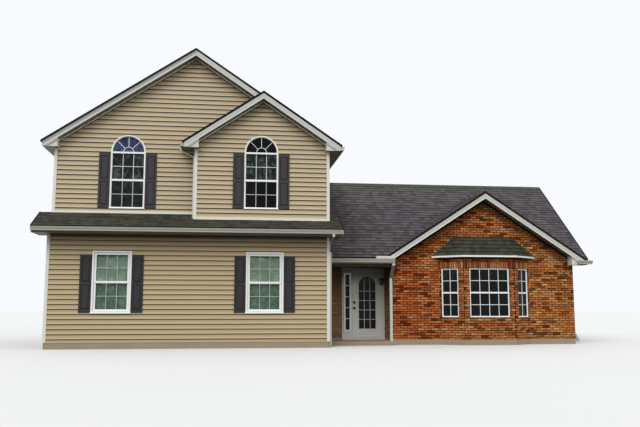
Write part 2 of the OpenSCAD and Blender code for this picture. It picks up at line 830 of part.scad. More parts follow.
module shutters() {
    color(shutter_color) place() {
        for (x = [win_x, win_x + win_pitch])
            shutter_pair(x, 0, win_w, sill_z + win_h - shutter_drop);
        for (p = arch_places)
            shutter_pair(p[0], p[1], arch_w, arch_spring_z - arch_shutter_drop);
    }
}

// Brick front; the opening into the bay window splits it into two piers and a gable
cant_top_z = cant_sill_z + cant_win_h + cant_head_h;
cant_open_z = cant_sill_z + cant_win_h + 60;
cant_angle = atan(cant_d / cant_side_run);
cant_inner_front = cant_front_w - 2 * cant_t * tan(cant_angle / 2);
cant_inner_full = cant_full_w - 2 * cant_t / sin(cant_angle);
module brick_piers() {
    color(brick_color) place() {
        for (x = [[brick_x, cant_mid_x - cant_inner_full / 2],
                  [cant_mid_x + cant_inner_full / 2, house_w]])
            box(x[0], x[1], brick_y, brick_back, floor_z, cant_open_z);
    }
}
module brick_gable_wall() {
    color(brick_color) place() along_y(brick_y, brick_back, [
        [brick_x, cant_open_z], [house_w, cant_open_z],
        [house_w, underside(brick_plane, house_w)],
        [cant_mid_x, underside(brick_plane, cant_mid_x)],
        [brick_x, underside(brick_plane, brick_x)],
    ]);
}

// Puts a piece on a facet: local X along the facet from its middle, local Y into the wall
module on_facet(side) {
    if (side == 0) {
        translate([cant_mid_x, cant_front_y, 0]) children();
    } else {
        translate([cant_mid_x + side * (cant_front_w + cant_side_run) / 2,
                   (brick_y + cant_front_y) / 2, 0])
            rotate([0, 0, side * cant_angle]) children();
    }
}
function facet_w(side) = side == 0 ? cant_win_w : cant_side_w;
function facet_x(side) = side * cant_side_shift - facet_w(side) / 2;
module bay_window_walls() {
    color(brick_color) place() difference() {
        translate([0, 0, floor_z]) linear_extrude(cant_top_z - floor_z) difference() {
            polygon(cant_outline(cant_front_w, cant_full_w, cant_front_y));
            polygon(cant_outline(cant_inner_front, cant_inner_full, cant_front_y + cant_t));
        }
        for (side = [-1, 0, 1]) on_facet(side)
            box(facet_x(side), facet_x(side) + facet_w(side), -skin, cant_t + skin,
                cant_sill_z, cant_sill_z + cant_win_h);
    }
}
cant_glass_y = cant_reveal + glass_y;
module bay_window_frames() {
    color(trim_color) place() for (side = [-1, 0, 1]) on_facet(side) {
        w = facet_w(side);
        translate([facet_x(side), 0, cant_sill_z]) {
            difference() {
                box(0, w, cant_reveal, cant_frame_d, 0, cant_win_h);
                box(cant_frame_w, w - cant_frame_w, 0, cant_t,
                    cant_frame_w, cant_win_h - cant_frame_w);
            }
            box(cant_frame_w, w - cant_frame_w, cant_reveal, cant_glass_y,
                (cant_win_h - rail_h) / 2, (cant_win_h + rail_h) / 2);
        }
    }
}
module bay_window_glass() {
    color(glass_color) place() for (side = [-1, 0, 1]) on_facet(side) {
        w = facet_w(side);
        translate([facet_x(side), 0, cant_sill_z])
            box(cant_frame_w, w - cant_frame_w, cant_glass_y, cant_glass_y + glass_t,
                cant_frame_w, cant_win_h - cant_frame_w);
    }
}
cant_eave_front = cant_front_w + 2 * cant_o * tan(cant_angle / 2);
cant_eave_full = cant_full_w + 2 * cant_o / sin(cant_angle);
module bay_window_boards() {
    color(trim_color) place() translate([0, 0, cant_top_z]) linear_extrude(cant_board_t)
        polygon(cant_outline(cant_eave_front, cant_eave_full, cant_front_y - cant_o));
}
module bay_window_roof() {
    z0 = cant_top_z + cant_board_t;
    base = cant_outline(cant_eave_front, cant_eave_full, cant_front_y - cant_o);
    top = [for (s = [-1, 1]) [cant_mid_x + s * cant_ridge_w / 2, brick_y, z0 + cant_roof_h]];
    color("darkslategray") place() polyhedron(
        points = concat([for (p = base) [p[0], p[1], z0]], top),
        faces = [[0, 1, 2, 3], [0, 4, 1], [1, 4, 5, 2], [2, 5, 3], [0, 3, 5, 4]]
    );
}

// Side and rear of the one-storey wing
module right_side_wall() {
    color(siding_color) place() difference() {
        along_x(house_w - wall_t, house_w, [
            [brick_back, floor_z], [house_d - wall_t, floor_z],
            [house_d - wall_t, underside(low_plane, house_d - wall_t)],
            [low_plane[0], underside(low_plane, low_plane[0])],
            [brick_back, underside(low_plane, brick_back)],
        ]);
        window_holes();
    }
}
module right_rear_wall() {
    color(siding_color) place() difference() {
        along_x(wing_w, house_w, [
            [house_d - wall_t, floor_z], [house_d, floor_z],
            [house_d, underside(low_plane, house_d)],
            [house_d - wall_t, underside(low_plane, house_d - wall_t)],
        ]);
        window_holes();
    }
}

// One-storey roof; the brick gable's roof lies on its front slope
module right_roof_front() {
    color(shingle_color) place() difference() {
        front_of(low_plane) slope(low_plane, -low_right_x, -wing_w + board_t);
        box(wing_w - far, wing_w, -far, far, 0, far);
        brick_zone();
        box(return_x, far, 0, low_front_y + board_t, 0, far);
    }
}
module right_roof_rear() {
    color(shingle_color) place() difference() {
        rear_of(low_plane) slope(low_plane, -low_right_x, -wing_w + board_t);
        box(wing_w - far, wing_w, -far, far, 0, far);
    }
}
// The space under the top of the brick gable's roof, over the brick wall
module brick_zone() {
    along_y(0, brick_back, [
        [brick_x, -far], [brick_x, plane_top(brick_plane, brick_x)],
        [brick_plane[0], brick_plane[1]],
        [house_w, plane_top(brick_plane, house_w)], [house_w, -far],
    ]);
}
// The space that the one-storey roof's front slope and what lies below it take
module low_zone() {
    difference() {
        along_x(wing_w, far, [
            [low_front_y + board_t, -far],
            [low_front_y + board_t, plane_top(low_plane, low_front_y + board_t)],
            [low_plane[0], low_plane[1]], [low_plane[0], -far],
        ]);
        box(brick_x, house_w, 0, brick_back, -far, far);
    }
}
module brick_gable_roof() {
    y1 = low_plane[0];
    color(shingle_color) place() difference() {
        for (side = [0, 1]) translate([brick_plane[0], 0, 0]) mirror([side, 0, 0]) {
            strip(brick_plane, low_front_y, y1, 0, deck_t, brick_plane[3], 0);
            rafters(brick_plane, low_front_y + board_t, y1);
        }
        low_zone();
    }
}
module right_wing_trim() {
    wall_run = low_run - low_eave_o;
    color(trim_color) place() {
        for (side = [0, 1]) translate([brick_plane[0], 0, 0]) mirror([side, 0, 0])
            rake_end(brick_plane, low_front_y, brick_y,
                brick_w / 2 - (side == 0 ? entry_box_lap : brick_box_lap), brick_w / 2);
        box(wing_w, return_x, low_front_y, low_front_y + board_t, low_box_z,
            low_eave_z - deck_t);
        box(return_x, brick_x + entry_box_lap, low_front_y, low_front_y + board_t, low_box_z,
            soffit_top(low_plane));
        box(return_x - brick_eave_o, brick_x, low_front_y - gutter_d, low_front_y,
            low_gutter_z + skin, low_gutter_z + return_h);
        box(house_w - brick_box_lap, low_right_x, low_front_y, low_front_y + board_t,
            low_box_z, low_eave_z - deck_t);
        front_of(low_plane) {
            fascia(low_plane, -low_right_x, board_t - low_right_x, low_run - board_t);
            soffit(low_plane, board_t - low_right_x, -house_w, wall_run);
        }
        box(house_w, low_right_x - board_t, low_front_y + board_t, brick_y,
            low_box_z, soffit_top(low_plane));
        rear_of(low_plane) {
            rake_end(low_plane, -low_right_x, -house_w, wall_run, low_run - drip - board_t);
            eave_side(low_plane, board_t - low_right_x, -wing_w, wall_run, -house_w, -wing_w);
        }
    }
}

// Recessed entry
frame_x1 = brick_x;
leaf_x1 = frame_x1 - hinge_jamb_w - door_gap;
leaf_x0 = leaf_x1 - door_w;
mullion_x1 = leaf_x0 - door_gap;
pane_x1 = mullion_x1 - mullion_w;
pane_x0 = pane_x1 - side_pane_w;
frame_x0 = pane_x0 - side_jamb_w;
sill_top = floor_z + sill_t;
leaf_z0 = sill_top + door_gap;
leaf_z1 = leaf_z0 + door_h;
side_pane_z = leaf_z0 + side_pane_foot;
head_z = leaf_z1 + door_gap;
head_top = head_z + door_head_h;
leaf_y0 = entry_y + stop_t + door_gap;
leaf_y1 = leaf_y0 + door_t;
hinge_y = leaf_y1 + hinge_r + door_gap;
hinge_x = leaf_x1 + door_gap / 2;
hinge_zs = [
    leaf_z0 + hinge_inset, (leaf_z0 + leaf_z1 - hinge_h) / 2,
    leaf_z1 - hinge_inset - hinge_h,
];

module entry_back_wall() {
    color(brick_color) place() along_x(wing_w, frame_x0, [
        [entry_y, floor_z], [entry_y + wall_t, floor_z],
        [entry_y + wall_t, underside(low_plane, entry_y + wall_t)],
        [entry_y, underside(low_plane, entry_y)],
    ]);
}
module entry_header_wall() {
    color(brick_color) place() along_x(frame_x0, brick_x, [
        [entry_y, head_top], [entry_y + wall_t, head_top],
        [entry_y + wall_t, underside(low_plane, entry_y + wall_t)],
        [entry_y, underside(low_plane, entry_y)],
    ]);
}
module porch_right_wall() {
    color(brick_color) place() along_x(brick_x, brick_x + brick_t, [
        [brick_back, floor_z], [entry_y + wall_t, floor_z],
        [entry_y + wall_t, underside(low_plane, entry_y + wall_t)],
        [brick_back, underside(low_plane, brick_back)],
    ]);
}
module porch_beam() {
    y0 = low_front_y + 5 * board_t;
    color("darkkhaki") place() {
        box(wing_w, brick_x, y0, y0 + beam_t, low_box_z - beam_h, low_box_z);
        box(wing_w, brick_x, low_front_y + board_t, entry_y, low_box_z, low_box_z + board_t);
    }
}
module door_frame() {
    color(trim_color) place() {
        difference() {
            box(frame_x0, frame_x1, entry_y, leaf_y1, floor_z, head_top);
            box(mullion_x1, frame_x1 - hinge_jamb_w, -far, far, sill_top, head_z);
            box(pane_x0, pane_x1, -far, far, side_pane_z, side_pane_z + side_pane_h);
        }
        for (x = [[mullion_x1, leaf_x0 + stop_lap],
                  [leaf_x1 - stop_lap, frame_x1 - hinge_jamb_w]])
            box(x[0], x[1], entry_y, entry_y + stop_t, sill_top, head_z);
        box(mullion_x1, frame_x1 - hinge_jamb_w, entry_y, entry_y + stop_t,
            leaf_z1 - stop_lap, head_z);
        box(frame_x0, frame_x1, entry_y - board_t, entry_y, porch_z, sill_top);
    }
}
module sidelight_glass() {
    color(glass_color) place()
        box(pane_x0, pane_x1, entry_y + glass_y, entry_y + glass_y + glass_t,
            side_pane_z, side_pane_z + side_pane_h);
}
door_mid_x = (leaf_x0 + leaf_x1) / 2;
module door_pane_prism(y0, y1, grow = 0) {
    translate([door_mid_x - door_pane_w / 2 - grow, 0, leaf_z0 + door_pane_foot])
        arch_prism(y0, y1, door_pane_w + 2 * grow, 0, door_pane_h);
}
module front_door() {
    color(trim_color) place() difference() {
        box(leaf_x0, leaf_x1, leaf_y0, leaf_y1, leaf_z0, leaf_z1);
        door_pane_prism(leaf_y0 - skin, leaf_y1 + skin);
    }
}
module door_glass() {
    y0 = (leaf_y0 + leaf_y1 - glass_t) / 2;
    color(glass_color) place() door_pane_prism(y0, y0 + glass_t);
}
module door_hardware() {
    color("goldenrod") place() {
        for (z = [leaf_z0 + knob_z, leaf_z0 + knob_z + bolt_dz])
            translate([leaf_x0 + knob_inset, leaf_y0, z]) rotate([90, 0, 0]) {
                cylinder(h = 12, r = knob_r);
                if (z < leaf_z0 + knob_z + bolt_dz / 2) {
                    cylinder(h = 45, r = knob_r / 3);
                    translate([0, 0, 45]) sphere(knob_r);
                }
            }
        translate([leaf_x0 + knob_inset, leaf_y1, leaf_z0 + knob_z]) rotate([-90, 0, 0]) {
            cylinder(h = 12, r = knob_r);
            cylinder(h = 45, r = knob_r / 3);
            translate([0, 0, 45]) sphere(knob_r);
        }
        for (z = hinge_zs) {
            difference() {
                union() {
                    translate([hinge_x, hinge_y, z]) cylinder(h = hinge_h, r = hinge_r);
                    box(hinge_x - hinge_plate_w, hinge_x, leaf_y1, leaf_y1 + hinge_plate_t,
                        z, z + hinge_h);
                    box(hinge_x - hinge_plate_t, hinge_x, leaf_y1, hinge_y,
                        z, z + hinge_h);
                }
                translate([hinge_x, hinge_y, z - skin])
                    cylinder(h = hinge_h + 2 * skin, r = hinge_pin_r + hinge_pin_gap);
            }
        }
    }
}
// The pins that the door turns on, with their knuckles and plates on the frame
module hinge_pins() {
    jamb_x = frame_x1 - hinge_jamb_w;
    color("goldenrod") place() for (z = hinge_zs) {
        z0 = z - knuckle_gap - knuckle_h;
        z1 = z + hinge_h + knuckle_gap;
        translate([hinge_x, hinge_y, z0]) cylinder(h = z1 + knuckle_h - z0, r = hinge_pin_r);
        for (zk = [z0, z1]) {
            translate([hinge_x, hinge_y, zk]) cylinder(h = knuckle_h, r = hinge_r);
            box(jamb_x, jamb_x + hinge_plate_t, leaf_y1, hinge_y, zk, zk + knuckle_h);
        }
        box(jamb_x, jamb_x + hinge_plate_w, leaf_y1, leaf_y1 + hinge_plate_t,
            z0, z1 + knuckle_h);
    }
}
module wall_lantern() {
    y = entry_y - lantern_inset;
    x = brick_x - lantern_arm;
    arm_z = lantern_z + lantern_h / 2;
    color("black") place() {
        box(brick_x - plate_t, brick_x, y - plate_w / 2, y + plate_w / 2,
            arm_z - plate_w, arm_z + plate_w);
        box(x, brick_x, y - arm_t / 2, y + arm_t / 2, arm_z - arm_t / 2, arm_z + arm_t / 2);
        translate([x, y, lantern_z]) cylinder(h = lantern_h, r = lantern_w / 2);
    }
}

ground_floor();
porch_slab();
lower_front_wall();
lower_left_wall();
lower_rear_wall();
porch_left_wall();
upper_floor();
upper_front_wall();
upper_gable_wall();
bay_front_wall();
upper_left_wall();
upper_right_wall();
upper_rear_wall();
main_roof_left();
main_roof_right();
bay_gable_roof();
pent_roof();
pent_boards();
left_wing_trim();
corner_boards();
gutters();
downspouts();
lower_windows();
upper_windows();
window_glass();
shutters();
brick_piers();
brick_gable_wall();
bay_window_walls();
bay_window_frames();
bay_window_glass();
bay_window_boards();
bay_window_roof();
right_side_wall();
right_rear_wall();
right_roof_front();
right_roof_rear();
brick_gable_roof();
right_wing_trim();
entry_back_wall();
entry_header_wall();
porch_right_wall();
porch_beam();
door_frame();
sidelight_glass();
hinge_pins();
wall_lantern();
front_door();
door_glass();
door_hardware();
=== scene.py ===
"""Dresses the detached house: siding, brickwork, shingles, windows, door, trim and finishes."""

import math
import random

import bmesh
import bpy
from bpy.props import FloatProperty, FloatVectorProperty, IntProperty, PointerProperty
from bpy.types import Operator, Panel, PropertyGroup
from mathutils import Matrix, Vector


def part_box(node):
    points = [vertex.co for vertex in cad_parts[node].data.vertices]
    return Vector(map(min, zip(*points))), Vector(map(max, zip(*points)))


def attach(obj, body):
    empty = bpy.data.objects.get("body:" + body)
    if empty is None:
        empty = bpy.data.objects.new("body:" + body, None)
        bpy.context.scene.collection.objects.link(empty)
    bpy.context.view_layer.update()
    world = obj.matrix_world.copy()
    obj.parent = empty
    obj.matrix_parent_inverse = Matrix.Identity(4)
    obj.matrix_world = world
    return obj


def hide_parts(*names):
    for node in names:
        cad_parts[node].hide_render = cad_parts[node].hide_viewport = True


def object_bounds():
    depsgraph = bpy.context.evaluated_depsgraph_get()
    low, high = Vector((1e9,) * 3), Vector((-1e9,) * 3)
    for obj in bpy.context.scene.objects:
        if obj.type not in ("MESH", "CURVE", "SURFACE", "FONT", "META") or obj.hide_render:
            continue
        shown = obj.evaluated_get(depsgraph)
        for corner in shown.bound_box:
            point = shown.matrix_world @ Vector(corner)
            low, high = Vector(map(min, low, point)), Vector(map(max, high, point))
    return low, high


bl_info = {
    "name": "Detached house dressing",
    "version": (1, 0, 0),
    "blender": (4, 5, 0),
    "location": "3D View > Sidebar > House",
    "description": "Adds siding, bricks, shingles, window bars and finishes to the house",
    "category": "Object",
}

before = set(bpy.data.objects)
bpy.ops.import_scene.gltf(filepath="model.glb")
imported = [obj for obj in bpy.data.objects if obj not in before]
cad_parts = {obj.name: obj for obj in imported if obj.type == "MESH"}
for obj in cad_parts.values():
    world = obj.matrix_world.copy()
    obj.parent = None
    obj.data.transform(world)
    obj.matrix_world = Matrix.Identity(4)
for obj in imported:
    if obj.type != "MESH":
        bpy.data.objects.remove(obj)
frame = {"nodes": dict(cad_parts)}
CAD_BOX = [list(corner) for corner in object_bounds()]
UP = Vector((0, 0, 1))
FRONT, REAR = Vector((0, -1, 0)), Vector((0, 1, 0))
LEFT, RIGHT = Vector((-1, 0, 0)), Vector((1, 0, 0))
# Every point stays this far inside the CAD's box
HAIR = 0.0003
GLASS_THICK = 0.012
# How much wider all round the glass is than in the CAD, because the visible frames are thinner
ARCH_GLASS_MORE, BAY_GLASS_MORE = 0.024, 0.022
# How far along X the middles of the two-storey and of the one-storey wing lie
WING_MIDDLES = (-3.7, 4.65)
# Heights between which a painted shade deepens, ending where it is full
ENTRY_SHADE, PENT_SHADE = (1.70, 2.02), (3.01, 2.98)
RECESS_SHADE, BAY_SHADE = (1.15, 1.95), (2.30, 2.46)
# Heights between which the long ridge turns green, and heights that the house never reaches
RIDGE_MOSS, NOWHERE = (4.72, 5.14), (90.0, 91.0)
# The front bricks turn from redder and darker on the left to paler on the right, between these distances
# along X;
# this is partly their own colour and partly painted shade on the left and painted light on the right
BRICK_SPAN, BRICK_TINTS = (1.9, 6.8), ((1.0, 0.75, 0.66), (1.10, 1.17, 1.03))


# Colours and surfaces


def paint(red, green, blue):
    """A colour as it looks on a screen, 0 to 255, made linear."""
    shares = (c / 255 for c in (red, green, blue))
    return tuple(((c + 0.055) / 1.055) ** 2.4 if c > 0.04 else c / 12.92 for c in shares)


# Colours that the plain light of the stage doesn't give: painted shades and shadows, and one golden tint
# Painted shade under the gable rakes, a golden tint for the lower front wall, and painted shade under the
# pent roof
EAVE_SHADE, STOREY_WASH, STOREY_SHADE = paint(96, 72, 36), paint(176, 146, 92), paint(112, 84, 42)
# Painted shadows just under the pent roof's soffit and along the brick gable's rakes
PENT_SHADOW, RAKE_SHADOW = paint(30, 22, 6), paint(20, 9, 3)
# Painted shade on undersides and in shaded places, and a painted shadow on the tops of rake boards
UNDERSIDE_SHADE, DEEP_SHADE, COOL_SHADE = paint(52, 45, 27), paint(40, 33, 18), paint(98, 100, 106)


class Value:
    """A number that varies over a surface, so that shader maths reads as an expression."""

    def __init__(self, tree, socket):
        self.tree, self.socket = tree, socket

    def maths(self, operation, *others, clamp=False):
        given = dict(enumerate((self, *others)))
        return self.tree.node("ShaderNodeMath", {"operation": operation, "use_clamp": clamp}, given)

    def __add__(self, other):
        return self.maths("ADD", other)

    def __sub__(self, other):
        return self.maths("SUBTRACT", other)

    def __mul__(self, other):
        return self.maths("MULTIPLY", other)

    def __truediv__(self, other):
        return self.maths("DIVIDE", other)

    def __rsub__(self, other):
        return (self * -1.0) + other

    __radd__ = __add__
    __rmul__ = __mul__

    def clamped(self):
        return self.maths("ADD", 0.0, clamp=True)

    def fraction(self):
        return self.maths("FRACT")

    def size(self):
        return self.maths("ABSOLUTE")

    def largest(self, other):
        return self.maths("MAXIMUM", other)


class Tree:
    """The shader nodes of a material or of the world."""

    def __init__(self, owner):
        owner.use_nodes = True
        self.nodes, self.links = owner.node_tree.nodes, owner.node_tree.links
        self.nodes.clear()

    def node(self, kind, settings, given, output=0):
        made = self.nodes.new(kind)
        for name, value in settings.items():
            setattr(made, name, value)
        for key, value in given.items():
            self.feed(made.inputs[key], value)
        return Value(self, made.outputs[output])

    def feed(self, socket, value):
        if isinstance(value, Value):
            self.links.new(value.socket, socket)
        elif socket.type == "RGBA":
            socket.default_value = (*tuple(value)[:3], 1.0)
        else:
            socket.default_value = value

    def finish(self, kind, shader):
        """Joins a shader to a new output node."""
        self.links.new(shader, self.nodes.new(kind).inputs[0])

    def background(self):
        """1 for the rays that show the background: seen straight, in gloss or through glass."""
        camera, glossy, through = (self.node("ShaderNodeLightPath", {}, {}, f"Is {ray} Ray")
                                   for ray in ("Camera", "Glossy", "Transmission"))
        return camera.largest(glossy).largest(through)


class Surface(Tree):
    """A procedural material with one principled shader."""

    def __init__(self, name, roughness=0.6, **settings):
        if name in bpy.data.materials:
            raise RuntimeError(f"a material is already called {name}")
        self.material = bpy.data.materials.new(name)
        super().__init__(self.material)
        self.shader = self.nodes.new("ShaderNodeBsdfPrincipled")
        self.finish("ShaderNodeOutputMaterial", self.shader.outputs[0])
        self.shader.inputs["Roughness"].default_value = roughness
        for socket, value in settings.items():
            self.shader.inputs[socket.replace("_", " ")].default_value = value
        self.place = self.node("ShaderNodeTexCoord", {}, {}, "Object")

    def axis(self, letter):
        return self.node("ShaderNodeSeparateXYZ", {}, {0: self.place}, letter)

    def rising(self, start, end, value=None):
        """0 at the start and 1 at the end, of a value or of the height, and level beyond them."""
        return (((value or self.axis("Z")) - start) / (end - start)).clamped()

    def below(self, normal, level):
        """The distance below a sloping plane."""
        x, y, z = (self.axis(letter) * part for letter, part in zip("XYZ", normal))
        return (x + y + z) * -1.0 + level

    def undersides(self):
        """1 on the faces that look down."""
        normal = self.node("ShaderNodeNewGeometry", {}, {}, "Normal")
        return (self.node("ShaderNodeSeparateXYZ", {}, {0: normal}, "Z") * -2.0 - 0.8).clamped()

    def stretched(self, x, y, z):
        return self.node("ShaderNodeVectorMath", {"operation": "MULTIPLY"}, {0: self.place, 1: (x, y, z)})

    def noise(self, scale, detail=3.0, place=None, roughness=0.5):
        given = {"Vector": place or self.place, "Scale": scale, "Detail": detail, "Roughness": roughness}
        return self.node("ShaderNodeTexNoise", {}, given)

    def island(self):
        return self.node("ShaderNodeNewGeometry", {}, {}, "Random Per Island")

    def mix(self, factor, first, second, blend="MIX"):
        settings = {"data_type": "RGBA", "blend_type": blend}
        return self.node("ShaderNodeMix", settings, {0: factor, 6: first, 7: second}, 2)

    def ramp(self, factor, tones):
        """A colour between evenly spaced tones."""
        made = self.node("ShaderNodeValToRGB", {}, {0: factor})
        stops = made.socket.node.color_ramp.elements
        for stop, tone in ((stops[0], tones[0]), (stops[-1], tones[-1])):
            stop.color = (*tone, 1.0)
        for i, tone in enumerate(tones[1:-1], 1):
            stops.new(i / (len(tones) - 1)).color = (*tone, 1.0)
        return made

    def colour(self, value):
        self.feed(self.shader.inputs["Base Color"], value)
        return self

    def roughen(self, value):
        self.feed(self.shader.inputs["Roughness"], value)
        return self

    def bump(self, height, depth):
        self.feed(self.shader.inputs["Normal"],
                  self.node("ShaderNodeBump", {}, {"Height": height, "Distance": depth, "Strength": 1.0}))
        return self


def shade(colour, factor):
    """A darker or lighter version of a colour."""
    return tuple(min(1.0, c * factor) for c in tuple(colour)[:3])


def siding_finish(c, s, eaves):
    """Vinyl laps: tan, with painted light on each lap, lighter at its foot and darker towards its head, and a
    painted shadow line under each lap.

    A painted shade turns them browner below each roof plane in eaves, given by its normal, its level, where
    along Y the laps under it end and how deep the painted shade gets. The lower front wall takes a golden
    tint, and a painted shade that deepens to near black just under the pent roof.
    """
    m = Surface("lap_siding", 0.62, Specular_IOR_Level=0.2)
    lap = ((m.axis("Z") - s.siding_start) / s.siding_step).fraction()
    under_lap = ((lap - 0.735) * 9.0).clamped()
    foot = (1.0 - lap * 22.0).clamped()
    broad = m.noise(0.55, 4.0)
    grain = m.noise(6.0, 4.0, m.stretched(3.0, 3.0, 60.0))
    tan = m.mix((broad * 1.6 - 0.35).clamped(), shade(c.siding, 1.05), shade(c.siding, 0.90))
    # Painted light on each lap: a highlight at its foot and a shade towards its head
    tan = m.mix((1.0 - lap * 1.9).clamped() * 0.85, tan, shade(c.siding, 1.42))
    tan = m.mix(m.rising(0.38, 0.76, lap) * 0.62, tan, shade(c.siding, 0.66))
    tan = m.mix(grain * 0.16, tan, shade(c.siding, 0.72))
    # A painted shadow line under each lap, and a fainter one at its very foot
    tan = m.mix((under_lap * 0.95).largest(foot * 0.35), tan, c.siding_gap)
    # Painted shade below each roof plane, full up to 0.2 below it and gone at 0.5, only above 3.2 m
    for normal, level, y, depth in eaves:
        on_wall = 1.0 - m.rising(y, y + 0.02, m.axis("Y"))
        near = (1.0 - m.rising(0.20, 0.50, m.below(normal, level))) * on_wall
        tan = m.mix(near * m.rising(3.2, 3.4) * depth, tan, EAVE_SHADE)
    wall_low, wall_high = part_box("lower_front_wall")
    face, head = wall_low.y, wall_high.z
    low = (1.0 - m.rising(face + 0.04, face + 0.10, m.axis("Y"))) * (1.0 - m.rising(head - 0.01, head + 0.06))
    tan = m.mix(low * 0.22, tan, STOREY_WASH)
    # Painted shade under the pent roof on the lower front wall, deepening to a near black painted shadow just
    # below its soffit
    tan = m.mix(low * m.rising(head - 0.28, head - 0.04) * 0.34, tan, STOREY_SHADE)
    tan = m.mix(low * m.rising(head - 0.12, head - 0.01) * 0.92, tan, PENT_SHADOW)
    return m.colour(tan).roughen(0.55 + grain * 0.18).bump(grain, 0.0012).material


def brick_finish(name, tones, smear, shaded=NOWHERE, depth=0.0, rakes=()):
    """Fired brick: each brick takes its own tone, with a sandy grain, burnt patches and mortar smears.

    A painted shade darkens it above the heights in shaded, and below each roof plane in rakes, given by its
    normal, its level and the distance down to which a painted shadow makes the bricks nearly black.
    """
    m = Surface(name, 0.88, Specular_IOR_Level=0.06)
    tone = m.ramp(m.island(), tones)
    sand, mottle = m.noise(160.0, 5.0), m.noise(24.0, 4.0, m.stretched(0.6, 0.6, 1.6))
    burnt = (m.noise(11.0, 4.0) * 4.2 - 2.2).clamped()
    tone = m.mix((mottle * 3.0 - 1.3).clamped() * 0.5, tone, shade(tones[0], 0.8))
    tone = m.mix(burnt * 0.6, tone, shade(tones[0], 0.55))
    tone = m.mix((mottle * -6.0 + 2.3).clamped() * 0.6, tone, smear)
    tone = m.mix((sand * 2.4 - 1.25).clamped() * 0.45, tone, shade(tones[-1], 1.12))
    # Painted shade above the heights in shaded
    tone = m.mix(m.rising(*shaded) * depth, tone, shade(tones[0], 0.3))
    if rakes:
        # Partly the bricks' own colour, partly painted shade on the left and painted light on the right
        tint_here = m.mix(m.rising(*BRICK_SPAN, m.axis("X")), *BRICK_TINTS)
        tone = m.mix(1.0, tone, tint_here, "MULTIPLY")
    soft = 0.012
    # Painted shade below each rake, and a painted shadow along the foot of its board
    for normal, level, foot in rakes:
        below = m.below(normal, level)
        tone = m.mix((1.0 - m.rising(0.24, 0.58, below)) * 0.5, tone, shade(tones[0], 0.55))
        tone = m.mix((1.0 - m.rising(foot - soft, foot + soft, below)) * 0.88, tone, RAKE_SHADOW)
    return m.colour(tone).roughen(0.80 + sand * 0.15).bump(sand, 0.0016).material


def mortar_finish(name, colour):
    """Sandy mortar, stained in patches."""
    m = Surface(name, 0.92, Specular_IOR_Level=0.1)
    sand, stain = m.noise(240.0, 4.0), m.noise(2.2, 3.0)
    tone = m.mix(sand, shade(colour, 0.78), shade(colour, 1.15))
    tone = m.mix((stain * 1.7 - 0.55).clamped() * 0.45, tone, shade(colour, 0.62))
    return m.colour(tone).bump(sand, 0.001).material


def shingle_finish(name, colour, moss, start, rise, mossy=NOWHERE):
    """Mineral shingles: a tone for each tab, granules, a painted highlight above each course's foot, a
    painted shadow under each course, and a greener ridge.
    """
    m = Surface(name, 0.93, Specular_IOR_Level=0.05)
    granule = m.noise(420.0, 3.0)
    speck = m.noise(55.0, 4.0)
    broad = m.noise(0.9, 4.0)
    lap = ((m.axis("Z") - start) / rise).fraction()
    shadow = ((lap - 0.62) * 3.4).clamped()
    lit = (1.0 - (lap - 0.22).size() * 5.0).clamped()
    tone = m.mix(m.island(), shade(colour, 0.50), shade(colour, 1.55))
    tone = m.mix((speck * 2.6 - 0.95).clamped() * 0.55, tone, shade(colour, 1.75))
    # Painted highlight just above each course's foot
    tone = m.mix(lit * 0.35, tone, shade(colour, 1.9))
    tone = m.mix((granule * 2.6 - 1.05).clamped() * 0.4, tone, shade(colour, 0.55))
    green = m.rising(*mossy) * (broad * 0.5 + 0.55)
    tone = m.mix(green, tone, moss)
    tone = m.mix((broad * 1.9 - 0.75).clamped() * 0.3, tone, shade(colour, 0.7))
    # Painted shadow at the top of each course, under the foot of the next
    tone = m.mix(shadow * 0.7, tone, shade(colour, 0.25))
    return m.colour(tone).roughen(0.86 + granule * 0.12).bump(granule, 0.0018).material


def painted_finish(name, colour, roughness=0.42, dirt=0.18, shaded=NOWHERE, depth=0.0, rake=None):
    """Painted boards and metal: satin, with rain marks running down, dust in patches and a painted shade on
    the faces that look down.

    A painted shade darkens it beyond the heights in shaded, and a painted shadow greys a board's top just
    below the roof plane rake.
    """
    m = Surface(name, roughness, Specular_IOR_Level=0.3)
    runs = m.noise(5.0, 4.0, m.stretched(7.0, 7.0, 0.5))
    dust = m.noise(2.4, 5.0)
    fine = m.noise(60.0, 3.0)
    tone = m.mix((runs * 2.2 - 1.0).clamped() * dirt, colour, shade(colour, 0.70))
    tone = m.mix((dust * 2.0 - 0.9).clamped() * dirt, tone, shade(colour, 0.78))
    # Painted shade on the faces that look down, a little lighter higher up
    tone = m.mix(m.undersides() * (0.9 - m.rising(3.0, 3.5) * 0.12), tone, UNDERSIDE_SHADE)
    tone = m.mix(m.rising(*shaded) * depth, tone, DEEP_SHADE)
    if rake:
        # Painted shadow on a board's top, just under the roof plane rake
        tone = m.mix((1.0 - m.rising(0.06, 0.13, m.below(*rake))) * 0.72, tone, COOL_SHADE)
    return m.colour(tone).roughen(roughness + fine * 0.14).bump(fine, 0.0004).material


def moulded_finish(name, colour, shaded_below=-1.0):
    """Moulded shutter plastic with a faint wood grain along its height, and a painted shade below a level."""
    m = Surface(name, 0.55, Specular_IOR_Level=0.22)
    grain = m.noise(9.0, 5.0, m.stretched(38.0, 38.0, 1.6))
    faded = m.noise(1.8, 3.0)
    tone = m.mix(grain * 0.55, shade(colour, 1.12), shade(colour, 0.72))
    tone = m.mix((faded * 1.8 - 0.7).clamped() * 0.3, tone, shade(colour, 1.45))
    # Painted shade below the given level
    tone = m.mix((1.0 - m.rising(shaded_below - 0.3, shaded_below)) * 0.5, tone, shade(colour, 0.4))
    return m.colour(tone).roughen(0.46 + grain * 0.2).bump(grain, 0.0009).material


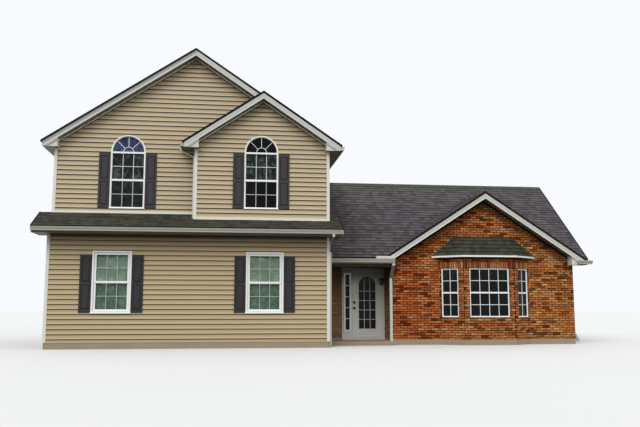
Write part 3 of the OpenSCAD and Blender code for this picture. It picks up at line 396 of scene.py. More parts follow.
def concrete_finish(name, colour):
    """Trowelled concrete: blotches, sand and a few darker pits."""
    m = Surface(name, 0.85)
    blotch, sand = m.noise(1.7, 5.0), m.noise(110.0, 4.0)
    pits = (m.noise(38.0, 2.0) * 6.0 - 4.1).clamped()
    tone = m.mix(blotch, shade(colour, 0.80), shade(colour, 1.12))
    tone = m.mix(sand * 0.4, tone, shade(colour, 0.72))
    tone = m.mix(pits * 0.6, tone, shade(colour, 0.45))
    return m.colour(tone).roughen(0.76 + sand * 0.18).bump(sand - pits, 0.0014).material


def wood_finish(name, colour):
    """Bare boards with grain along the house's width."""
    m = Surface(name, 0.7)
    grain = m.noise(12.0, 6.0, m.stretched(1.2, 24.0, 24.0))
    board = ((m.axis("Y") / 0.14).fraction() - 0.5).size()
    tone = m.mix(grain, shade(colour, 0.70), shade(colour, 1.15))
    tone = m.mix(((board - 0.47) * 40.0).clamped() * 0.8, tone, shade(colour, 0.3))
    return m.colour(tone).roughen(0.6 + grain * 0.2).bump(grain, 0.001).material


def glass_finish(name, colour, alpha, tint=None, reflections_from=(0.0, 0.1), glint=4.0, specular=0.16):
    """A window sheet: dark and glossy, with a very slight wave, a haze, and painted reflections in paler
    mottled patches.
    """
    m = Surface(name, 0.05, Alpha=alpha, Specular_IOR_Level=specular)
    wave, haze = m.noise(1.3, 2.0), m.noise(2.6, 4.0)
    reflected_leaves = m.noise(7.0, 5.0, m.stretched(1.3, 1.0, 0.9), 0.68)
    tone = m.mix((haze * 2.4 - 0.85).clamped(), colour, tint or shade(colour, 1.8))
    # Painted reflections in paler mottled patches, fuller above a given height
    mottle = (reflected_leaves * 8.0 - 3.9).clamped() * (m.rising(*reflections_from) * 0.70 + 0.12)
    tone = m.mix(mottle, tone, shade(tint or colour, glint))
    return m.colour(tone).roughen(0.04 + haze * 0.06).bump(wave, 0.002).material


def metal_finish(name, colour, roughness, metallic):
    """Cast or polished metal with rubbed and tarnished patches."""
    m = Surface(name, roughness, Metallic=metallic, Specular_IOR_Level=0.25)
    rubbed, fine = m.noise(30.0, 4.0), m.noise(260.0, 3.0)
    tone = m.mix((rubbed * 2.0 - 0.7).clamped() * 0.6, colour, shade(colour, 0.6))
    return m.colour(tone).roughen(roughness + fine * 0.18).bump(fine, 0.0003).material


def slat_finish(name, colour):
    """Blind slats, each a little lighter or darker."""
    m = Surface(name, 0.6)
    soft = m.noise(3.0, 3.0)
    tone = m.mix(m.island(), shade(colour, 0.88), shade(colour, 1.1))
    tone = m.mix((soft * 1.6 - 0.5).clamped() * 0.4, tone, shade(colour, 0.72))
    return m.colour(tone).roughen(0.5 + soft * 0.2).material


# Shapes


def kept_inside(point):
    """A point held inside the house's CAD box."""
    return tuple(min(max(p, lo + HAIR), hi - HAIR) for p, lo, hi in zip(point, *CAD_BOX))


def finished(name):
    """A finish that is made already."""
    if name not in bpy.data.materials:
        raise RuntimeError(f"the finish {name} isn't made yet")
    return bpy.data.materials[name]


def around(sides, turned=0.0):
    """The angles of a regular shape's corners."""
    return [turned + 2 * math.pi * k / sides for k in range(sides)]


def over_arch(steps):
    """The angles over a half round, from its right end to its left one."""
    return [math.pi * i / steps for i in range(steps + 1)]


def span(corners):
    """The lowest and the highest corner of the box round some points."""
    low, high = (Vector(pick(c[i] for c in corners) for i in range(3)) for pick in (min, max))
    return low, high


def eased(share, first, last):
    """A size that goes from first to last while share goes from 0 to 1."""
    return first + (last - first) * min(1.0, max(0.0, share))


class Shape:
    """Gathers the faces of one piece."""

    def __init__(self):
        self.points, self.faces = [], []

    def add(self, points, faces):
        first = len(self.points)
        self.points += [kept_inside(p) for p in points]
        self.faces += [tuple(first + i for i in face) for face in faces]

    def loft(self, loops):
        """Joins loops of equally many points, and caps the first and the last."""
        n, last = len(loops[0]), len(loops) - 1
        faces = [(a * n + i, a * n + (i + 1) % n, (a + 1) * n + (i + 1) % n, (a + 1) * n + i)
                 for a in range(last) for i in range(n)]
        faces += [tuple(reversed(range(n))), tuple(last * n + i for i in range(n))]
        self.add([p for loop in loops for p in loop], faces)

    def prism(self, outline, by):
        self.loft([outline, [Vector(p) + by for p in outline]])

    def box(self, low, high):
        (x0, y0, z0), (x1, y1, z1) = low, high
        foot = [Vector(p) for p in ((x0, y0, z0), (x1, y0, z0), (x1, y1, z0), (x0, y1, z0))]
        self.prism(foot, UP * (z1 - z0))

    def tube(self, path, radius, sides):
        """A round bar along a path."""
        loops = []
        for i, point in enumerate(path):
            along = (path[min(i + 1, len(path) - 1)] - path[max(i - 1, 0)]).normalized()
            side = along.cross(UP if abs(along.z) < 0.9 else RIGHT).normalized()
            other = along.cross(side)
            loops.append([point + side * (radius * math.cos(t)) + other * (radius * math.sin(t))
                          for t in around(sides)])
        self.loft(loops)

    def raised_panel(self, x0, x1, z0, z1, steps):
        """A panel that faces the street: rectangles, each as its inset and where it stands along Y."""
        self.loft([[Vector((x0 + inset, y, z0 + inset)), Vector((x1 - inset, y, z0 + inset)),
                    Vector((x1 - inset, y, z1 - inset)), Vector((x0 + inset, y, z1 - inset))]
                   for inset, y in steps])

    def ring(self, outer, inner, near, far):
        """A frame between two outlines of equally many points, from its near to its far side."""
        n = len(outer)
        points = [p + near for p in outer] + [p + near for p in inner]
        points += [p + far for p in outer] + [p + far for p in inner]
        faces = []
        for i in range(n):
            j = (i + 1) % n
            faces += [(i, j, n + j, n + i), (2 * n + i, 3 * n + i, 3 * n + j, 2 * n + j),
                      (i, 2 * n + i, 2 * n + j, j), (n + i, n + j, 3 * n + j, 3 * n + i)]
        self.add(points, faces)

    def piece(self, name, finish, slot, body="house", replaces=(), bevel=0.0):
        """Makes the object and ties it to the frame."""
        if not self.faces:
            raise RuntimeError(f"{name} has no faces")
        mesh = bpy.data.meshes.new(name)
        mesh.from_pydata(self.points, [], self.faces)
        turned = bmesh.new()
        turned.from_mesh(mesh)
        bmesh.ops.recalc_face_normals(turned, faces=turned.faces)
        turned.to_mesh(mesh)
        turned.free()
        mesh.materials.append(finished(finish))
        made = bpy.data.objects.new(name, mesh)
        bpy.context.scene.collection.objects.link(made)
        if bevel:
            edge = made.modifiers.new("soft_edges", "BEVEL")
            edge.width, edge.segments, edge.limit_method = bevel, 2, "ANGLE"
            edge.angle_limit = math.radians(40)
        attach(made, body)
        if replaces:
            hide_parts(*replaces)


def node_mesh(node):
    """A CAD node's faces with its doubled corners joined."""
    bm = bmesh.new()
    bm.from_mesh(frame["nodes"][node].data)
    bmesh.ops.remove_doubles(bm, verts=bm.verts, dist=1e-5)
    bm.normal_update()
    return bm


def level_of(region, direction):
    """How far out a flat region lies in a direction."""
    return next(iter(region.verts)).co.dot(direction)


def area_of(region):
    return sum(f.calc_area() for f in region.faces)


def faces_towards(node, direction, spread=0.999):
    """The flat faces of a CAD node that look one way, grouped by plane, as meshes."""
    whole = node_mesh(node)
    planes = sorted({round(f.calc_center_median().dot(direction), 3)
                     for f in whole.faces if f.normal.dot(direction) > spread and f.calc_area() > 1e-4})
    regions = []
    for level in planes:
        part = whole.copy()
        drop = [f for f in part.faces if f.normal.dot(direction) <= spread
                or abs(f.calc_center_median().dot(direction) - level) > 0.0015]
        bmesh.ops.delete(part, geom=drop, context="FACES")
        if part.faces:
            regions.append(part)
    whole.free()
    return regions


def outer_faces(node, out):
    """The faces of a wall's outermost plane that look one way, without its reveals and its inside."""
    low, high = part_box(node)
    reach = max(low.dot(out), high.dot(out))
    return [region for region in faces_towards(node, out) if abs(level_of(region, out) - reach) < 0.002]


def slopes(node):
    """The upward faces of a roof node, one mesh for each slope, with its normal."""
    smallest = 0.05
    whole = node_mesh(node)
    normals = []
    for f in whole.faces:
        if 0.3 < f.normal.z < 0.995 and not any(f.normal.dot(n) > 0.9995 for n in normals):
            normals.append(f.normal.copy())
    whole.free()
    return [(region, n) for n in normals for region in faces_towards(node, n, 0.9995)
            if area_of(region) > smallest]


class RoofEdge:
    """A border of a roof's slope: its ends, the level way out from it, and if it is a rake or an eave."""

    def __init__(self, edge, normal):
        self.normal = normal
        self.start, self.end = (v.co.copy() for v in edge.verts)
        out = (self.end - self.start).cross(normal).normalized()
        if out.dot((self.start + self.end) / 2 - edge.link_faces[0].calc_center_median()) < 0:
            out = -out
        level = abs(self.start.z - self.end.z) < 0.01
        self.rake, self.eave = not level and abs(out.z) < 0.02, level and out.z < -0.1
        self.out = Vector((out.x, out.y, 0)).normalized()

    def strip(self, region, top, foot):
        """Keeps what lies beside the edge, between two distances below the roof."""
        across = Vector((self.normal.x, self.normal.y, 0)).normalized()
        level = self.start.dot(self.normal)
        between(region, across, *sorted((self.start.dot(across), self.end.dot(across))))
        between(region, self.normal, level - foot, level - top)

    def is_free(self, node, reach):
        """True where the edge ends in the open, and not against a wall or another roof."""
        at_end = self.start.dot(self.out) > reach - 0.03 or (self.rake and self.out.dot(FRONT) > 0.5)
        at_wall = self.out.dot(REAR) > 0.5 and self.start.y < 0
        at_wing = node.startswith("right_roof") and self.out.dot(LEFT) > 0.5
        return (self.rake or self.eave) and at_end and not at_wall and not at_wing


def free_edges(node):
    """The rakes and eaves of a roof that end in the open."""
    found = []
    for region, normal in slopes(node):
        for edge in (RoofEdge(e, normal) for e in region.edges if len(e.link_faces) == 1):
            if edge.is_free(node, max(v.co.dot(edge.out) for v in region.verts)):
                found.append(edge)
        region.free()
    return found


def islands(node):
    """The separate solids of a CAD node, each as its corners and its faces' normals and areas."""
    whole = node_mesh(node)
    seen, found = set(), []
    for first in whole.faces:
        if first in seen:
            continue
        seen.add(first)
        group = [first]
        for face in group:
            for other in (f for edge in face.edges for f in edge.link_faces):
                if other not in seen:
                    seen.add(other)
                    group.append(other)
        corners = dict.fromkeys(v for f in group for v in f.verts)
        found.append(([v.co.copy() for v in corners], [(f.normal.copy(), f.calc_area()) for f in group]))
    whole.free()
    return found


def sliced(mesh, axis, level, keep):
    """Cuts a mesh at a level along an axis; keep is above, below or both."""
    bmesh.ops.bisect_plane(mesh, geom=mesh.verts[:] + mesh.edges[:] + mesh.faces[:], dist=1e-6,
                           plane_co=axis * level, plane_no=axis,
                           clear_inner=keep == "above", clear_outer=keep == "below")


def between(mesh, axis, low, high):
    """Keeps what lies between two levels along an axis."""
    sliced(mesh, axis, low, "above")
    sliced(mesh, axis, high, "below")


def courses(region, up, start, step):
    """Cuts a flat region into level courses and yields the number, the foot and the mesh of each."""
    reach = [v.co.dot(up) for v in region.verts]
    k = math.floor((min(reach) - start) / step + 1e-4)
    while start + k * step < max(reach) - 1e-4:
        foot = start + k * step
        course = region.copy()
        between(course, up, foot, foot + step)
        if course.faces:
            yield k, foot, course
        course.free()
        k += 1


def raise_faces(shape, faces, lift, skip=None):
    """Adds faces moved out by lift, with skirts back to where they were."""
    inside = set(faces)
    index, low, high, made = {}, [], [], []
    for face in faces:
        loop = []
        for v in face.verts:
            if v not in index:
                index[v] = len(low)
                low.append(v.co.copy())
                high.append(v.co + lift(v.co))
            loop.append(index[v])
        made.append(tuple(loop))
    n = len(low)
    for face in faces:
        corners = face.verts[:]
        for a, b in zip(corners, corners[1:] + corners[:1]):
            edge = next(e for e in a.link_edges if e.other_vert(a) is b)
            if sum(f in inside for f in edge.link_faces) == 1 and not (skip and skip(a.co, b.co)):
                made.append((index[a], n + index[a], n + index[b], index[b]))
    shape.add(high + low, made)


def lay_laps(shape, region, out, start, step, thick):
    """Siding laps: each course stands out at its foot and tucks under the next at its head."""
    head_thick = 0.0015
    for _, foot, course in courses(region, UP, start, step):
        head = foot + step

        def lift(at):
            return out * eased((at.z - foot) / step, thick, head_thick)

        raise_faces(shape, course.faces[:], lift, lambda a, b: min(a.z, b.z) > head - 1e-4)


def lay_bricks(shape, region, out, start, size, chance, upright=None):
    """Bricks in running bond; between two levels they may stand upright, as a soldier course."""
    length, height, joint, depth = size
    along = UP.cross(out).normalized()
    for k, foot, course in courses(region, UP, start, height):
        if upright and upright[0] - 1e-3 < foot < upright[1] - 1e-3:
            continue
        shift = length / 2 if k % 2 else 0.0
        lay_row(shape, course, out, along, length, shift, joint, depth, chance)
    if upright:
        soldiers = region.copy()
        between(soldiers, UP, *upright)
        if soldiers.faces:
            lay_row(shape, soldiers, out, along, height, 0.0, joint, depth, chance)
        soldiers.free()


def lay_row(shape, course, out, along, length, shift, joint, depth, chance):
    """Cuts one course into bricks and sets each a little apart from its neighbours."""
    smallest_cell, smallest_face, uneven, tilt = 0.0012, 0.0008, 0.0015, 0.006
    reach = [v.co.dot(along) for v in course.verts]
    first = math.floor((min(reach) - shift) / length)
    last = math.ceil((max(reach) - shift) / length)
    for i in range(first + 1, last):
        sliced(course, along, i * length + shift, "both")
    cells = {}
    for face in course.faces:
        at = math.floor((face.calc_center_median().dot(along) - shift) / length)
        cells.setdefault(at, []).append(face)
    for cell in cells.values():
        if len(cell) > 1:
            bmesh.ops.dissolve_faces(course, faces=cell, use_verts=False)
    whole = [f for f in course.faces if f.calc_area() > smallest_cell]
    spare = [f for f in course.faces if f.calc_area() <= smallest_cell]
    bmesh.ops.delete(course, geom=spare, context="FACES")
    if not whole:
        return
    bmesh.ops.inset_individual(course, faces=whole, thickness=joint / 2, use_even_offset=True)
    for face in whole:
        if face.is_valid and face.normal.dot(out) > 0.9 and face.calc_area() > smallest_face:
            proud = depth + chance.uniform(-uneven, uneven)
            tip = chance.uniform(-tilt, tilt)
            middle = face.calc_center_median().dot(along)
            separate(shape, face, lambda at: out * (proud + tip * (at.dot(along) - middle)))


def separate(shape, face, lift):
    """Adds one face as a raised block of its own."""
    low = [v.co.copy() for v in face.verts]
    high = [p + lift(p) for p in low]
    n = len(low)
    faces = [tuple(range(n))] + [(i, n + i, n + (i + 1) % n, (i + 1) % n) for i in range(n)]
    shape.add(high + low, faces)


def lay_shingles(shape, region, normal, step, thick, widths, chance):
    """Shingle courses of tabs with uneven widths and thicknesses, from the eave up."""
    along = UP.cross(normal).normalized()
    up = normal.cross(along)
    start = min(v.co.dot(up) for v in region.verts)
    for _, foot, course in courses(region, up, start, step):
        reach = [v.co.dot(along) for v in course.verts]
        at, cuts = min(reach) - chance.uniform(0.0, widths[1]), []
        while at < max(reach):
            at += chance.uniform(*widths)
            cuts.append(at)
        for cut in cuts[:-1]:
            sliced(course, along, cut, "both")
        groups = {}
        for face in course.faces:
            place = face.calc_center_median().dot(along)
            groups.setdefault(sum(cut < place for cut in cuts), []).append(face)
        for group in groups.values():
            own = thick * chance.choice((0.62, 1.0, 1.0, 0.8))
            own += chance.uniform(-0.0008, 0.0008)

            def lift(point):
                return normal * eased((point.dot(up) - foot) / step, own, 0.0012)

            raise_faces(shape, group, lift)


def lay_caps(shape, start, end, left, right, reach=0.15, thick=0.012):
    """Folded cap shingles along a ridge or hip; left and right are the normals of its slopes."""
    length, usual_step, fold, skirt = (end - start).length, 0.143, 0.02, 0.02
    along = (end - start).normalized()
    count = max(1, round(length / usual_step))
    rise = (left + right).normalized()
    spread = rise.dot(left)
    left_down, right_down = (along.cross(n).normalized() for n in (left, right))
    left_down = left_down if left_down.dot(right) < 0 else -left_down
    right_down = right_down if right_down.dot(left) < 0 else -right_down
    for k in range(count):
        loops = []
        for s, h in ((0.0, thick + 0.004), (1.0, thick)):
            at = start + along * (length / count * (k + s))
            low = h - skirt
            loops.append([at + left_down * reach + left * h, at + left_down * fold + left * h,
                          at + rise * (h / spread),
                          at + right_down * fold + right * h, at + right_down * reach + right * h,
                          at + right_down * reach + right * low, at + rise * (low / spread),
                          at + left_down * reach + left * low])
        shape.loft(loops)


class Spot:
    """Where a sheet of glass stands: its outward direction and its outline, seen from outside."""

    def __init__(self, corners, faces):
        middle = sum(corners, Vector()) / len(corners)
        core = Vector((WING_MIDDLES[middle.x > 0], 0.0, middle.z))
        out = max(((n, area) for n, area in faces if abs(n.z) < 0.01), key=lambda f: f[1])[0]
        self.out = out if out.dot(middle - core) > 0 else -out
        self.along = UP.cross(self.out).normalized()
        across = [c.dot(self.along) for c in corners]
        self.u0, self.u1 = min(across), max(across)
        self.z0, self.z1 = min(c.z for c in corners), max(c.z for c in corners)
        self.face = max(c.dot(self.out) for c in corners)
        self.arched = len(corners) > 8
        self.mid = (self.u0 + self.u1) / 2
        self.spring = self.z1 - (self.u1 - self.u0) / 2 if self.arched else self.z1

    def widened(self, by):
        """The same spot with its opening larger all round."""
        self.u0, self.u1, self.z0, self.z1 = self.u0 - by, self.u1 + by, self.z0 - by, self.z1 + by
        return self

    def point(self, u, z, proud=0.0):
        return self.along * u + self.out * (self.face + proud) + UP * z

    def polar(self, radius, turn, proud=0.0):
        """A point at a distance and an angle from the middle of the arch."""
        return self.point(self.mid + radius * math.cos(turn), self.spring + radius * math.sin(turn), proud)

    def outline(self, grow, foot=None, head=None):
        """The opening's outline, grown or shrunk; an arch keeps its round top."""
        low = self.z0 - grow if foot is None else foot
        ends = [self.point(self.u0 - grow, low), self.point(self.u1 + grow, low)]
        if self.arched and head is None:
            radius = (self.u1 - self.u0) / 2 + grow
            return ends + [self.polar(radius, t) for t in over_arch(28)]
        top = self.z1 + grow if head is None else head
        return ends + [self.point(self.u1 + grow, top), self.point(self.u0 - grow, top)]

    def ring(self, shape, outer, inner, front, back):
        """A frame between two outlines, each given as what outline() takes."""
        near, far = self.outline(*outer), self.outline(*inner)
        shape.ring(near, far, self.out * front, self.out * back)

    def pane(self, shape, foot=None, head=None):
        """A sheet of glass over the opening, or over a stretch of its height."""
        by = self.out * GLASS_THICK
        shape.prism([p - by for p in self.outline(0.0, foot, head)], by)

    def bar(self, shape, u0, u1, z0, z1, front, back=0.0):
        corners = [self.point(*c) for c in ((u0, z0), (u1, z0), (u1, z1), (u0, z1))]
        shape.prism([c + self.out * back for c in corners], self.out * (front - back))

    def crossbar(self, shape, z0, z1, front):
        self.bar(shape, self.u0, self.u1, z0, z1, front)

    def sill(self, shape, casing, top, front):
        """The nosing along the foot of a casing, up to a height above that foot."""
        over, foot = casing + 0.012, self.z0 - casing
        self.bar(shape, self.u0 - over, self.u1 + over, foot - 0.004, foot + top, front)

    def grid(self, shape, z0, z1, columns, rows, width, front):
        """Bars that part a stretch of glass into panes."""
        for i in range(1, columns):
            u = self.u0 + (self.u1 - self.u0) * i / columns
            self.bar(shape, u - width / 2, u + width / 2, z0, z1, front)
        for j in range(1, rows):
            z = z0 + (z1 - z0) * j / rows
            self.crossbar(shape, z - width / 2, z + width / 2, front - 0.001)


def spots(node):
    return [Spot(*island) for island in islands(node)]


# Settings


def length(label, description, default):
    return FloatProperty(name=label, description=description, default=default, unit="LENGTH", min=0.0)


def tint(label, description, default):
    return FloatVectorProperty(name=label, description=description, default=default, subtype="COLOR", size=3,
                               min=0.0, max=1.0)


class HouseSizes(PropertyGroup):
    """Sizes of the fine detail."""

    siding_step: length("Lap height", "Visible height of one siding lap", 0.127)
    siding_start: length("First lap", "Level of the foot of the lowest siding lap", 0.0)
    siding_thick: length("Lap thickness", "How far a lap's foot stands out from the wall", 0.013)
    brick_length: length("Brick length", "Length of a brick with its joint", 0.203)
    brick_height: length("Brick height", "Height of a brick with its joint", 0.0677)
    brick_joint: length("Brick joint", "Width of the mortar joints", 0.017)
    brick_depth: length("Brick face", "How far the bricks stand out from the mortar", 0.008)
    shingle_step: length("Shingle course", "Visible height of one shingle course", 0.143)
    shingle_thick: length("Shingle thickness", "Thickness of a shingle at its foot", 0.009)
    # The dark edge is the shingles' own, drawn deep enough to take in a painted shadow under it as well
    edge_height: length("Shingle edge", "Height of the dark edge over the rake boards", 0.050)
    bar_width: length("Window bar", "Width of the bars in the windows", 0.016)
    slat_pitch: length("Blind slat", "Distance between the slats of the blinds", 0.036)
    seed: IntProperty(name="Seed", description="Seed of the uneven bricks and shingles", default=11)


class HouseColours(PropertyGroup):
    """Colours of the finishes."""

    siding: tint("Siding", "Vinyl siding", paint(194, 176, 145))
    # The colour of the painted shadow line under each lap
    siding_gap: tint("Siding gap", "Dark line under each lap", paint(30, 19, 8))
    brick_dark: tint("Burnt brick", "Darkest bricks", paint(86, 34, 12))
    brick_mid: tint("Brick", "Most of the bricks", paint(184, 108, 60))
    brick_light: tint("Pale brick", "Palest bricks", paint(212, 158, 108))
    mortar: tint("Mortar", "Mortar between the bricks", paint(26, 8, 1))
    # A duller copy of the front brick for the recess, which stands in shade; its finish adds a painted shade
    # above
    entry_brick: tint("Entry brick", "Bricks in the recess", paint(160, 128, 94))
    roof: tint("Roof", "Shingles of the roofs", paint(82, 77, 80))
    pent: tint("Pent roof", "Shingles of the pent roof", paint(65, 65, 56))
    bay: tint("Bay roof", "Shingles over the bay window", paint(60, 62, 53))
    edge: tint("Shingle edge", "Cut edges of the shingles at the rakes", paint(30, 30, 33))
    moss: tint("Ridge", "Greener shingles near the ridge", paint(82, 90, 74))
    trim: tint("Trim", "White boards and frames", paint(218, 217, 209))
    corner: tint("Corner boards", "Boards at the corners of the walls", paint(230, 228, 218))
    frame: tint("Frames", "Window frames and sashes", paint(250, 250, 247))
    bar: tint("Bars", "Bars in front of the blinds", paint(176, 190, 172))
    gutter: tint("Gutters", "Gutters and downspouts", paint(206, 205, 197))
    # A darker copy of the gutter colour, as painted shade on the gutters over the front
    front_gutter: tint("Front gutters", "Gutters over the front, darkened by painted shade", paint(178, 176, 162))
    shutter: tint("Shutters", "Shutter plastic", paint(61, 57, 61))
    concrete: tint("Concrete", "Slab and step", paint(168, 152, 128))
    door: tint("Door", "Painted door", paint(226, 226, 222))
    blind: tint("Blinds", "Blind slats", paint(164, 184, 164))


# Operators


class Work(Operator):
    """Common ground of the house's operators."""

    bl_options = {"REGISTER", "UNDO"}

    def execute(self, context):
        self.sizes, self.colours = context.scene.house_sizes, context.scene.house_colours
        self.chance = random.Random(f"{self.bl_idname}{self.sizes.seed}")
        self.make()
        return {"FINISHED"}


NODE_FINISH = {
    "lap_siding_wall": ["lower_front_wall", "lower_left_wall", "lower_rear_wall", "porch_left_wall",
                        "upper_front_wall", "upper_gable_wall", "bay_front_wall", "upper_left_wall",
                        "upper_right_wall", "upper_rear_wall", "right_side_wall", "right_rear_wall"],
    "mortar": ["brick_piers", "brick_gable_wall", "bay_window_walls", "porch_right_wall"],
    "recess_mortar": ["entry_back_wall", "entry_header_wall"],
    "painted_trim": ["left_wing_trim", "right_wing_trim"],
    "corner_paint": ["corner_boards"],
    "pent_paint": ["pent_boards"],
    "entry_paint": ["door_frame"],
    "painted_frames": ["lower_windows", "upper_windows", "bay_window_frames", "bay_window_boards"],
    "gutter_paint": ["gutters", "downspouts"],
    "shutter_plastic": ["shutters"],
    "trowelled_concrete": ["ground_floor", "porch_slab"],
    "floor_boards": ["upper_floor"],
    "beam_paint": ["porch_beam"],
    "door_enamel": ["front_door"],
    "door_bronze": ["door_hardware", "hinge_pins"],
    "lantern_black": ["wall_lantern"],
    "dark_glass": ["window_glass", "bay_window_glass", "door_glass", "sidelight_glass"],
}
ROOFS = (
    ("main_roof_left", "main_roof_asphalt", "roof"), ("main_roof_right", "main_roof_asphalt", "roof"),
    ("bay_gable_roof", "main_roof_asphalt", "roof"), ("brick_gable_roof", "brick_gable_asphalt", "roof"),
    ("right_roof_front", "low_roof_asphalt", "roof"), ("right_roof_rear", "low_roof_asphalt", "roof"),
    ("pent_roof", "pent_asphalt", "pent"), ("bay_window_roof", "bay_asphalt", "bay"),
)
SIDING = {
    "front": (FRONT, ["lower_front_wall", "upper_front_wall", "upper_gable_wall", "bay_front_wall"]),
    "left": (LEFT, ["lower_left_wall", "upper_floor", "upper_left_wall", "bay_front_wall"]),
    "right": (RIGHT, ["upper_right_wall", "upper_floor", "right_side_wall", "porch_left_wall"]),
    "rear": (REAR, ["lower_rear_wall", "upper_floor", "upper_rear_wall", "right_rear_wall"]),
}


class HOUSE_OT_finishes(Work):
    """Makes the materials and gives every CAD node its finish"""

    bl_idname, bl_label = "house.finishes", "Finishes"

    def make(self):
        c = self.colours
        eaves = []
        # Each roof plane over the front siding, the wall under it, how far behind that wall's face the
        # painted shade stops, and how deep it gets
        for roof, wall, back, depth in (("main_roof_left", "upper_front_wall", 0.12, 0.26),
                                        ("main_roof_right", "upper_front_wall", 0.12, 0.42),
                                        ("bay_gable_roof", "bay_front_wall", 0.07, 0.46)):
            region, normal = slopes(roof)[0]
            eaves.append((normal, level_of(region, normal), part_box(wall)[0].y + back, depth))
        siding_finish(c, self.sizes, eaves)
        mortar_finish("lap_siding_wall", shade(c.siding, 0.8))
        self.brick(c)
        self.shingles(c, self.sizes)
        self.paints(c, eaves[0][:2])
        self.glass(c)
        concrete_finish("trowelled_concrete", c.concrete)
        wood_finish("floor_boards", paint(178, 142, 98))
        metal_finish("door_bronze", paint(58, 48, 38), 0.34, 0.7)
        metal_finish("lantern_black", paint(26, 25, 25), 0.42, 0.5)
        worn = [(node, finish) for finish, nodes in NODE_FINISH.items() for node in nodes]
        for node, finish in worn + [(node, finish) for node, finish, _ in ROOFS]:
            mesh = frame["nodes"][node].data
            mesh.materials.clear()
            mesh.materials.append(finished(finish))

    def brick(self, c):
        mid, pale, brown = c.brick_mid, tuple(c.brick_light), tuple(c.entry_brick)
        tones = [tuple(c.brick_dark), shade(mid, 0.50), pale, tuple(mid), shade(mid, 1.35), shade(mid, 0.68),
                 tuple(mid), pale]
        # Each slope of the brick gable, its level, and how far below it the painted shadow runs
        rakes = [(normal, level_of(region, normal), 0.25 if normal.x < 0 else 0.215)
                 for region, normal in slopes("brick_gable_roof")]
        brick_finish("fired_brick", tones, pale, rakes=rakes)
        brick_finish("bay_brick", tones, pale, BAY_SHADE, 0.75)
        # The recess's duller copy of the bricks, darkened upwards by a painted shade
        brick_finish("recess_brick", [shade(brown, 0.66), shade(brown, 0.9), brown, shade(brown, 1.2)], brown,
                     RECESS_SHADE, 0.86)
        mortar_finish("mortar", c.mortar)
        mortar_finish("recess_mortar", shade(brown, 0.7))

    def shingles(self, c, s):
        mortar_finish("shingle_edge", c.edge)
        for node, name, colour in ROOFS:
            if name not in bpy.data.materials:
                region, normal = slopes(node)[0]
                foot = min(v.co.z for v in region.verts)
                rise = s.shingle_step * math.hypot(normal.x, normal.y)
                mossy = RIDGE_MOSS if name == "low_roof_asphalt" else NOWHERE
                shingle_finish(name, getattr(c, colour), c.moss, foot, rise, mossy)

    def paints(self, c, rake):
        painted_finish("painted_trim", c.trim)
        painted_finish("corner_paint", c.corner)
        # The rake boards' finish, with a painted shadow under the shingle edge of the main roof's left slope
        painted_finish("rake_paint", c.trim, rake=rake)
        painted_finish("pent_paint", c.trim, shaded=PENT_SHADE, depth=0.8)
        painted_finish("entry_paint", c.trim, shaded=ENTRY_SHADE, depth=0.74)
        painted_finish("door_enamel", c.door, 0.34, 0.10, ENTRY_SHADE, 0.74)
        painted_finish("painted_frames", c.frame, 0.36, 0.08)
        painted_finish("bar_paint", c.bar, 0.4, 0.08)
        painted_finish("gutter_paint", c.gutter, 0.34, 0.22)
        # The gutters over the front: a darker copy of the gutter paint, as painted shade
        painted_finish("dull_gutter_paint", c.front_gutter, 0.34, 0.3)
        painted_finish("beam_paint", paint(62, 51, 28), 0.6, 0.3)
        # The shutters take a painted shade below 3 m
        moulded_finish("shutter_plastic", c.shutter, 3.0)
        # Near black plastic that fills the shutters' grooves as painted shade
        moulded_finish("dark_plastic", shade(c.shutter, 0.18))
        # Near black strips under each sash's head, a painted shadow
        moulded_finish("rubber_seal", paint(22, 28, 24))

    def glass(self, c):
        glass_finish("dark_glass", paint(8, 10, 10), 1.0, paint(22, 26, 25), (1.6, 2.0), 2.5, 0.12)
        glass_finish("reflecting_glass", paint(12, 15, 16), 1.0, paint(34, 40, 41), (4.15, 4.5), 5.0)
        glass_finish("black_glass", paint(4, 5, 5), 1.0, paint(14, 16, 16), NOWHERE, 2.0, 0.10)
        glass_finish("violet_glass", paint(34, 34, 66), 1.0, paint(70, 86, 116), glint=1.3)
        glass_finish("clear_glass", paint(96, 120, 100), 0.22)
        glass_finish("screened_glass", paint(60, 80, 66), 0.38)
        slat_finish("blind_slats", c.blind)


class HOUSE_OT_siding(Work):
    """Lays the lap siding on the walls of both wings"""

    bl_idname, bl_label = "house.siding", "Siding"

    def make(self):
        s = self.sizes
        for side, (out, nodes) in SIDING.items():
            shape = Shape()
            for region in (r for node in nodes for r in outer_faces(node, out)):
                if area_of(region) > 0.02:
                    lay_laps(shape, region, out, s.siding_start, s.siding_step, s.siding_thick)
            shape.piece(f"siding_{side}", "lap_siding", "siding")


